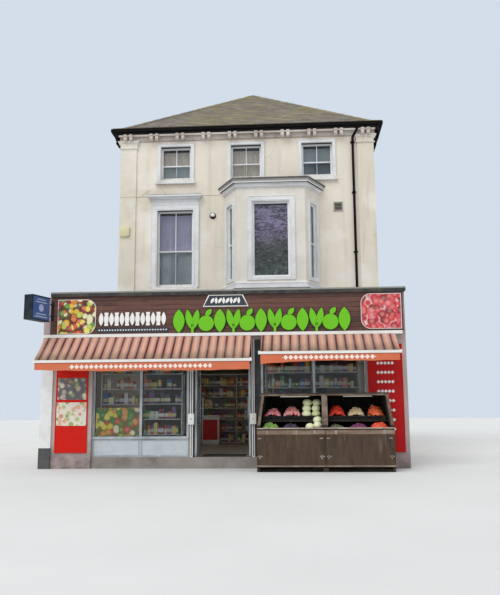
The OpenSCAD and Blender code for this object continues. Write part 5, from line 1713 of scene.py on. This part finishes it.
CROPS = {
    "green": Crop(Skin("green_produce", "#5f8c3a", "#8bb05a"), (0.03, 0.024, 0.022), 90, 0.14),
    "dark": Crop(Skin("dark_produce", "#2b2430", "#4a3f55", 0.25), (0.05, 0.032, 0.03), 50, 0.1),
    "cabbage": Crop(Skin("cabbage", "#d3dba0", "#e9ebc6", 0.5, "#a3b070"), (0.104, 0.095, 0.08)),
    "leek": Crop(Skin("leeks", "#3c4a35", "#7a8567"), (0.1, 0.02, 0.02), 50, 0.08, 0.3),
    "onion": Crop(Skin("red_onions", "#5e2347", "#84426b", 0.3), (0.034, 0.034, 0.031), 70, 0.1),
    "tomato": Crop(Skin("tomatoes", "#e2402a", "#ea6a44", 0.3), (0.036, 0.036, 0.031), 70, 0.12),
    "radish": Crop(Skin("red_bunches", "#cf4652", "#f0b4b4", 0.35), (0.034, 0.034, 0.03), 80, 0.16),
    "pink": Crop(Skin("pink_roots", "#d24f58", "#eab4b0", 0.35), (0.03, 0.03, 0.045), 80, 0.16),
    "pepper": Crop(Skin("red_peppers", "#d02a1e", "#ea4c30", 0.25), (0.042, 0.034, 0.034), 85, 0.2),
    "ginger": Crop(Skin("pale_roots", "#c9ad84", "#e6d3ae", 0.5), (0.044, 0.026, 0.024), 110, 0.18),
    "carrot": Crop(Skin("carrots", "#e6532a", "#f08048", 0.4), (0.085, 0.018, 0.018), 110, 0.22, 0.5),
}


@dataclass
class ProduceStand:
    """The timber stand with its ends leaning inwards, flap fittings, crates, produce and light strips."""

    x: Span = (0.85, 3.75)
    centre: float = 2.3
    hinge_y: float = -7.6
    counter_z: float = 0.89
    top_z: float = 1.65
    lean: float = 0.175
    cabinet_y: float = -7.569
    tier_y: float = -7.544
    tier_d: float = 0.3
    tiers: Span = (0.79, 1.06)
    crate_d: float = 0.288
    crate_h: float = 0.11
    crate_gap: float = 0.012
    bays: Span = (0.91, 2.36)
    bay_w: float = 1.33
    cheek: float = 0.06
    post: float = 0.12
    back_y: float = -6.7203
    splay: Span = (0.105, 0.09)
    board: float = 0.025
    wall: float = 0.008
    crops: tuple[str, str] = ("green dark cabbage leek onion tomato", "radish pink cabbage pepper ginger carrot")
    flap_gap: float = 0.003
    hinge_in: float = 0.22

    def __post_init__(self) -> None:
        """Works out each upright's left side, width and side of the stand, the flaps and the top."""
        self.uprights = ((self.x[0], self.cheek, 1), (self.centre - self.post / 2, self.post, 0),
                         (self.x[1] - self.cheek, self.cheek, -1))
        self.flaps = ((self.x[0], self.centre - self.flap_gap), (self.centre + self.flap_gap, self.x[1]))
        self.top_x = (self.x[0] + self.splay[0] - 0.05, self.x[1] - self.splay[1] + 0.02)
        self.top_y = self.hinge_y + self.lean + 0.0072

    def places(self) -> list[tuple[int, int, Point, float]]:
        """Returns each crate's tier, its number along the stand, its lowest corner and its width."""
        found = []
        for tier, z in enumerate(self.tiers):
            for bay, x in enumerate(self.bays):
                less = 0.055 * tier
                width = (self.bay_w - less - 4 * self.crate_gap) / 3
                x += less * (1 - bay) + self.crate_gap
                found += [(tier, 3 * bay + i, (x + i * (width + self.crate_gap), self.tier_y + tier * self.tier_d, z),
                           width) for i in range(3)]
        return found

    def crates(self) -> None:
        """Makes the open crates, most of them black."""
        wood, black = Shape(), Shape()
        for tier, number, (x, y, z), width in self.places():
            shape = wood if (tier, number) == (0, 2) else black
            across, along = (x, x + width), (y, y + self.crate_d)
            inside = grow(along, -self.wall)
            shape.box(across, along, (z, z + self.wall))
            for level in ((z + 0.015, z + 0.045), (z + 0.06, z + self.crate_h - 0.01)):
                for side in ((along[0], inside[0]), (inside[1], along[1])):
                    shape.box(across, side, level)
                for side in ((x, x + self.wall), (across[1] - self.wall, across[1])):
                    shape.box(side, inside, level)
            for px in (x, across[1] - 0.02):
                for py in (inside[0], inside[1] - 0.02):
                    shape.box((px, px + 0.02), (py, py + 0.02), (z, z + self.crate_h))
        wood.piece("wooden_crate", Finishes.pale_wood, "stand_timber", "produce_trays")
        black.piece("black_crates", Finishes.tray, "produce")

    def produce(self) -> None:
        """Heaps produce in the crates, higher at the back, and stacks cabbages beside the middle post."""
        chance, shapes, centre = random.Random(11), {name: Shape() for name in CROPS}, (0.0, 0.0, 0.0)
        for tier, number, (x0, y0, z0), width in self.places():
            name = self.crops[tier].split()[number]
            crop = CROPS[name]
            rx, ry, rz = crop.radii
            for i in range(crop.count):
                u, v = chance.random(), chance.random()
                mound = (1.0 - abs(2 * u - 1) ** 3) * (0.3 + 0.7 * v)
                level = chance.uniform(0.7, 1.0) if i % 4 == 0 else 1.0
                x = x0 + rx + self.wall + u * (width - 2 * rx - 2 * self.wall)
                y = y0 + max(ry, 0.02) + 0.004 + v * (self.crate_d - 2 * ry - 0.02)
                size = chance.uniform(0.85, 1.12)
                place = (shift(x, y, z0 + 0.06 + rz + level * mound * crop.rise)
                         @ tilt(chance.uniform(-0.4, 0.4) + crop.lean, "Y") @ spin(chance.uniform(-35, 35)))
                shapes[name].ball(centre, (rx * size, ry * size, rz * size), place=place)
        spots = [(x + 0.02 * (k == 2), -7.14 + 0.02 * k, 1.195 + 0.125 * k) for x in (1.92, 2.125) for k in range(3)]
        for spot in spots + [(1.92, -7.02, 1.17), (2.12, -7.02, 1.17), (1.98, -7.4, 0.93), (2.15, -7.37, 0.96),
                             (2.15, -7.33, 1.07)]:
            size = chance.uniform(0.95, 1.06)
            shapes["cabbage"].ball(centre, [r * size for r in CROPS["cabbage"].radii], 14, 9,
                                   shift(*spot) @ tilt(chance.uniform(0, 3), "Z"))
        for name, shape in shapes.items():
            shape.piece("produce_" + name, CROPS[name].finish, "produce", smooth=True)

    def lean_in(self, side: int) -> Matrix:
        """Returns how the left end (1), the right end (−1) or the middle (0) leans inwards over the counter."""
        rate = side * self.splay[0 if side > 0 else 1] / (self.top_z - self.counter_z)
        return Matrix(((1, 0, rate, -rate * self.counter_z), (0, 1, 0, 0), (0, 0, 1, 0), (0, 0, 0, 1)))

    def carcass(self) -> None:
        """Makes the ends, post, back, front and top, and the lugs and pins of the flaps' hinges."""
        shape, (x0, x1), (left, right) = Shape(), self.x, self.splay
        low, high, behind = self.counter_z, self.top_z - self.board, (self.back_y - self.board, self.back_y)
        for x, width, side in self.uprights:
            shape.box((x, x + width), (self.cabinet_y, self.back_y), (0.0, low))
            shape.prism([(x, self.cabinet_y, low), (x, self.back_y, low), (x, self.back_y, high),
                         (x, self.top_y, high), (x, self.cabinet_y, low + 0.079)], (width, 0.0, 0.0),
                        self.lean_in(side))
        shape.box(grow(self.x, -self.cheek), behind, (0.0, low))
        shape.slab([(x0, low), (x1, low), (x1 - right, high), (x0 + left, high)], behind)
        shape.box(self.x, (self.cabinet_y, self.cabinet_y + self.board), (0.09, low))
        shape.box(self.top_x, (self.top_y, self.back_y), (high, self.top_z))
        shape.bevel(0.003)
        for flap in self.flaps:
            for x in grow(flap, -self.hinge_in):
                for lug in about(x, 0.032):
                    shape.box(about(lug, 0.006), (self.hinge_y - 0.006, self.cabinet_y + self.board),
                              about(low, 0.006))
                shape.rod((x - 0.027, self.hinge_y, low), (x + 0.027, self.hinge_y, low), 0.004)
        shape.piece("stand_carcass", Finishes.stand, "stand_timber", "produce_stand")

    def trims(self) -> None:
        """Makes the lip of the counter, and the pale edges of the uprights and the top."""
        low = self.counter_z
        lip = Shape((self.x, (self.cabinet_y - 0.002, self.cabinet_y + 0.06), (low, low + 0.024)))
        lip.piece("counter_lip", Finishes.lip, "stand_timber", bevel=0.004)
        edges, slope = Shape(), math.atan2(self.lean, self.top_z - low)
        for x, width, side in self.uprights:
            place = self.lean_in(side) @ shift(x + width / 2, self.hinge_y + 0.0098, low) @ tilt(-slope, "X")
            edges.box(about(0.0, width / 2), (0.0, 0.004), (0.085, 0.75), place)
        edges.box(self.top_x, (self.top_y, self.top_y + 0.02), (self.top_z - 0.06, self.top_z - 0.026))
        edges.piece("stand_trims", Finishes.edge, "stand_timber", bevel=0.003)

    def lining(self) -> None:
        """Makes the dark foot rail, the near-black lining that paints the shade inside the stand, and the thin strips
        of light under the stand's top.
        """
        (x0, x1), roof = grow(self.x, -self.cheek), (self.top_z - 0.03, self.top_z - 0.026)
        # Painted shade: the near-black back and roof lining stand in for the shade inside the stand.
        dark = Shape(((x0, x1), (-7.55, -7.51), (0.0, 0.06)),
                     ((x0 + 0.1, x1 - 0.095), (self.back_y - 0.03, self.back_y - 0.026), (0.8, roof[0])),
                     (grow(self.x, -0.12), (self.hinge_y + 0.2, self.back_y - 0.03), roof))
        dark.piece("stand_shade_lining", Finishes.lining, "stand_timber")
        strips = Shape(*((x, (-7.33, -7.3), (1.566, 1.586)) for x in ((1.35, 1.985), (2.71, 3.33))))
        strips.piece("light_strips", Finishes.glow, "lamp_white", bevel=0.006, steps=2, smooth=True)

    def flap_fittings(self) -> None:
        """Makes the thin battens and metal fittings on each flap's face."""
        y, low, top = self.hinge_y - 0.002, self.counter_z - 0.78, self.counter_z - 0.016
        for name, x, body in zip(("left_flap_", "right_flap_"), self.flaps, (Body.LEFT_FLAP, Body.RIGHT_FLAP)):
            Shape(*((grow(x, -0.002), (y, self.hinge_y), z) for z in ((top - 0.095, top - 0.012), (low, low + 0.03)))
                  ).piece(name + "battens", Finishes.batten, "stand_timber", body=body)
            plates = [(about(px, 0.018), (top - 0.09, top - 0.01)) for px in grow(x, -self.hinge_in)]
            for px in (x[0] + 0.02, x[1] - 0.12):
                plates += [((px, px + 0.1), (low + 0.2, low + 0.225)),
                           ((px + 0.03, px + 0.055), (low + 0.16, low + 0.24)),
                           ((px, px + 0.07), (top - 0.19, top - 0.165))]
            Shape(*((px, (y - 0.0025, y), z) for px, z in plates)
                  ).piece(name + "fittings", Finishes.worn_steel, "shelf_metal", body=body)

    def build(self) -> None:
        """Makes the stand's pieces."""
        self.carcass()
        self.crates()
        self.produce()
        self.trims()
        self.lining()
        self.flap_fittings()


# Inside the shop


@dataclass
class ShopInside:
    """Goods on the shelving, racks behind the windows, the chest cabinet and the ceiling's lights."""

    shelf_z: tuple[float, ...] = tuple(0.27 + 0.35 * i + 0.025 for i in range(6))
    shelf_x: tuple[Span, ...] = ((-1.265, -0.17), (-0.13, 0.965))
    shelf_y: float = -0.79
    racks: tuple[Span, ...] = ((-2.85, -0.95), (1.0, 3.15))
    rack_y: Span = (-6.42, -6.12)
    rack_levels: tuple[float, ...] = (0.75, 1.1, 1.45, 1.8, 2.15)

    def row(self, shape: Shape, x: Span, y: float, z: float, room: float, chance: random.Random) -> None:
        """Stands packets and tins along a shelf.

        Args:
            shape: The mesh that they go into.
            x: The shelf's limits along X.
            y: The shelf's front.
            z: The shelf's top.
            room: The height that is free.
            chance: The source of chance.
        """
        at = x[0] + 0.01
        while True:
            width, height = chance.uniform(0.055, 0.14), chance.uniform(0.45, 0.95) * room
            if at + width > x[1] - 0.01:
                return
            if chance.random() < 0.3:
                radius = min(0.045, width / 2)
                for level in range(2 if chance.random() < 0.5 else 1):
                    foot = (at + radius, y + radius + 0.01, z + level * 0.105)
                    shape.rod(foot, (*foot[:2], foot[2] + 0.1), radius, sides=14)
                at += 2 * radius + 0.008
                continue
            if chance.random() < 0.93:
                shape.box((at, at + width), (y + chance.uniform(0.0, 0.03), y + chance.uniform(0.12, 0.24)),
                          (z, z + height))
            at += width + chance.uniform(0.002, 0.012)

    def goods(self) -> None:
        """Makes the goods on the shelving, and the racks behind the shop windows with theirs."""
        chance, shape = random.Random(3), Shape()
        for z in self.shelf_z:
            for x in self.shelf_x:
                self.row(shape, x, self.shelf_y, z, 0.29, chance)
        shape.piece("shelf_goods", Finishes.goods, "produce")
        chance, shape, rack = random.Random(8), Shape(), Shape()
        for x in self.racks:
            middle = sum(x) / 2
            for px in (x[0], middle, x[1]):
                for py in self.rack_y:
                    rack.box(about(px, 0.012), about(py, 0.012), (FLOOR_Z, self.rack_levels[-1] + 0.3))
            for z in self.rack_levels:
                rack.box(x, self.rack_y, (z - 0.018, z))
                for part in ((x[0], middle), (middle, x[1])):
                    self.row(shape, grow(part, -0.02), self.rack_y[0] + 0.02, z, 0.3, chance)
        rack.piece("window_racks", Finishes.shelf_metal, "shelf_metal")
        shape.piece("rack_goods", Finishes.rack_goods, "produce")

    def chest(self) -> None:
        """Makes the chest cabinet: a white body, a red front and a framed lid."""
        x, y, z = limits_of("chest_cabinet")
        body = Shape((x, (y[0] + 0.012, y[1]), (z[0] + 0.06, z[1] - 0.05)),
                     (grow(x, -0.03), (y[0] + 0.05, y[1] - 0.03), (z[0], z[0] + 0.06)))
        body.ring(x, (-z[1], 0.05 - z[1]), (0.0, y[1] - y[0]), 0.05, shift(0.0, y[0]) @ tilt(-math.pi / 2, "X"))
        body.piece("chest_body", Finishes.chest_white, "shelf_metal", "chest_cabinet", bevel=0.012, steps=2,
                   smooth=True)
        level = (z[0] + 0.16, z[1] - 0.12)
        front = Shape((grow(x, -0.04), (y[0], y[0] + 0.012), level),
                      ((x[1] - 0.001, x[1] + 0.006), grow(y, -0.06), level))
        front.piece("chest_front", Finishes.chest_red, "red_board", bevel=0.002)
        lid = Shape((grow(x, -0.05), grow(y, -0.05), (z[1] - 0.025, z[1] - 0.018)))
        lid.piece("chest_lid_glass", Finishes.glass, "clear_glass")

    def build(self) -> None:
        """Makes what is in the shop, first the lights under its ceiling, each in a metal case."""
        spots = [(x, y) for x in (-2.0, 0.0, 2.0) for y in (-5.2, -3.4)]
        for name, finish, slot, width, depth, z in (
                ("light_cases", Finishes.white_metal, "white_metal", 0.65, 0.18, (3.57, 3.63)),
                ("light_panels", Finishes.room_light, "lamp_white", 0.62, 0.15, (3.555, 3.57))):
            Shape(*((about(x, width), about(y, depth), z) for x, y in spots)).piece(name, finish, slot, bevel=0.004)
        self.goods()
        self.chest()


@dataclass
class BackDoor:
    """Panels and a knob on the back door."""

    panels_x: tuple[Span, Span] = ((0.1, 0.42), (0.53, 0.85))
    panels_z: tuple[Span, Span] = ((0.15, 0.85), (1.0, 1.9))

    def build(self) -> None:
        """Makes the raised edges of the panels, and the knob."""
        (left, _), (_, face), (foot, _) = limits_of("back_door")
        shape, metal = Shape(), Shape()
        for x in self.panels_x:
            for z in self.panels_z:
                shape.ring(x, (face - 0.001, face + 0.012), z, 0.025, shift(left, 0.0, foot))
        shape.piece("back_door_panels", Finishes.door_green, "green_door", bevel=0.003)
        x, z = left + 0.06, foot + 1.0
        metal.rod((x, face, z), (x, face + 0.05, z), 0.012)
        metal.ball((x, face + 0.06, z), (0.03, 0.025, 0.03), 16, 10)
        metal.piece("back_door_knob", Finishes.steel, "shelf_metal", smooth=True)


# Studio


@dataclass
class Studio:
    """The floor, the soft light and the camera."""

    camera: Point = (1.68, -22.5, 1.35)
    yaw: float = 3.67
    pitch: float = 9.05
    roll: float = -0.38
    lens: float = 49.68
    sky: str = "#d3deea"
    light: Point = (0.97, 0.985, 1.0)
    floor_half: float = 60.0
    world_light: float = 0.8
    sun_light: float = 1.25
    sun_from: Point = (-0.42, -0.72, 0.9)

    def stage(self) -> None:
        """Makes the pale floor."""
        shape, graph = Shape(), Graph("pale_floor")
        graph.close(graph.ramp(graph.noise(0.4), (0.3, "#dcdddc"), (0.7, "#e2e3e2")), 0.9)
        shape.skin(8, 8, lambda i, j: ((i / 4 - 1) * self.floor_half, (j / 4 - 1) * self.floor_half, -0.002))
        shape.plain("floor", graph.material)

    def world(self) -> None:
        """Makes the even light of an overcast sky, and the pale background that is seen."""
        world = bpy.context.scene.world = bpy.data.worlds.new("overcast")
        world.use_nodes = True
        nodes, links = world.node_tree.nodes, world.node_tree.links
        nodes.clear()
        path, light, sky, mixed, output = (nodes.new("ShaderNode" + kind) for kind in (
            "LightPath", "Background", "Background", "MixShader", "OutputWorld"))
        seen = path.outputs["Is Camera Ray"]
        for name in ("Is Glossy Ray", "Is Transmission Ray"):
            most = nodes.new("ShaderNodeMath")
            most.operation = "MAXIMUM"
            links.new(seen, most.inputs[0])
            links.new(path.outputs[name], most.inputs[1])
            seen = most.outputs[0]
        sky.inputs[0].default_value = (*tint(self.sky), 1.0)
        light.inputs[0].default_value = (*self.light, 1.0)
        light.inputs[1].default_value = self.world_light
        for start, end in zip((seen, light.outputs[0], sky.outputs[0]), mixed.inputs):
            links.new(start, end)
        links.new(mixed.outputs[0], output.inputs[0])

    def sun(self) -> None:
        """Makes the broad, soft main light."""
        data = bpy.data.lights.new("soft_sun", "SUN")
        data.energy, data.angle = self.sun_light, math.radians(40)
        light = bpy.data.objects.new("soft_sun", data)
        light.rotation_euler = Vector(self.sun_from).to_track_quat("Z", "Y").to_euler()
        bpy.context.scene.collection.objects.link(light)

    def take(self) -> None:
        """Makes the camera."""
        data = bpy.data.cameras.new("camera")
        data.lens, data.sensor_width, data.sensor_fit, data.clip_end = self.lens, 36.0, "HORIZONTAL", 400.0
        camera = bpy.context.scene.camera = bpy.data.objects.new("camera", data)
        camera.matrix_world = (shift(*self.camera) @ spin(self.yaw) @ tilt(math.radians(90 + self.pitch), "X")
                               @ spin(self.roll))
        bpy.context.scene.collection.objects.link(camera)

    def build(self) -> None:
        """Makes the studio."""
        self.stage()
        self.world()
        self.sun()
        self.take()
        bpy.context.scene.view_settings.view_transform = "Standard"


class NodeFinishes:
    """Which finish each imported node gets."""

    finishes = {
        Finishes.floor: ("ground_floor",),
        Finishes.shop_stucco: ("shop_left_wall", "shop_right_wall", "shop_front_beam"),
        Finishes.felt: ("shop_flat_roof",),
        Finishes.end_white: ("end_pilaster",),
        Finishes.red_board: ("left_pier_board",),
        Finishes.dark_red_board: ("right_pier_board",),
        Finishes.planks: ("signboard",),
        Finishes.coping: ("lead_coping",),
        Finishes.black_metal: ("projecting_sign",),
        Finishes.aluminium: ("shop_window_frames", "left_door", "right_door"),
        Finishes.riser: ("stall_risers",),
        Finishes.glass: ("shop_glass", "window_glass"),
        Finishes.door_glass: ("left_door_glass", "right_door_glass"),
        Finishes.dark_frame: ("door_frame",),
        Finishes.white_metal: ("shutter_guides", "awning_rail", "awning_bars", "awning_arms", "left_awning",
                               "right_awning"),
        Finishes.stand: ("produce_stand", "produce_shelves"),
        Finishes.tray: ("produce_trays",),
        Finishes.flap: ("left_flap", "right_flap"),
        Finishes.shelf_metal: ("goods_shelving", "chest_cabinet", "wall_vent"),
        Finishes.stucco: ("house_front_wall", "house_left_wall", "house_right_wall", "house_back_wall"),
        Finishes.deck: ("upper_floors",),
        Finishes.slates: ("house_roof",),
        Finishes.eaves: ("eaves_soffit", "eaves_brackets"),
        Finishes.gutter: ("gutters", "downpipe"),
        Finishes.pilaster_stucco: ("corner_pilasters",),
        Finishes.moulding: ("window_surrounds", "tall_window_surround"),
        Finishes.bay_cornice: ("bay_mouldings",),
        Finishes.sill: ("window_sills",),
        Finishes.plain_stucco: ("bay_walls",),
        Finishes.bay_lead: ("bay_roof",),
        Finishes.sash: ("bay_sashes", "sash_windows"),
        Finishes.door_green: ("back_door",),
        Finishes.opal: ("wall_lamp",),
        Finishes.alarm: ("alarm_box",),
    }

    def build(self, nodes: dict[str, bpy.types.Object]) -> None:
        """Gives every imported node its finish.

        Args:
            nodes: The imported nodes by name.
        """
        for finish, names in self.finishes.items():
            for place in (place for name in names for place in nodes[name].material_slots):
                place.material = finish.material()


def main() -> None:
    """Builds the studio and every part of the building."""
    logging.basicConfig(level=logging.INFO, format="%(message)s")
    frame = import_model()
    Studio().build()
    NodeFinishes().build(frame["nodes"])
    for part in (SlateRoof(), Eaves(), Downpipe(), Windows(), BayWindow(), HouseTrim(), Signs(), ShopFront(),
                 Awning("left", (-4.145, 0.745), 2.39, 0.197, -3.99, 0.19, 0.05),
                 Awning("right", (0.885, 3.99), 2.53, 0.203, 0.975, 0.155, -0.07),
                 ProduceStand(), ShopInside(), BackDoor()):
        part.build()
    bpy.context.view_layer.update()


if __name__ == "__main__":
    main()
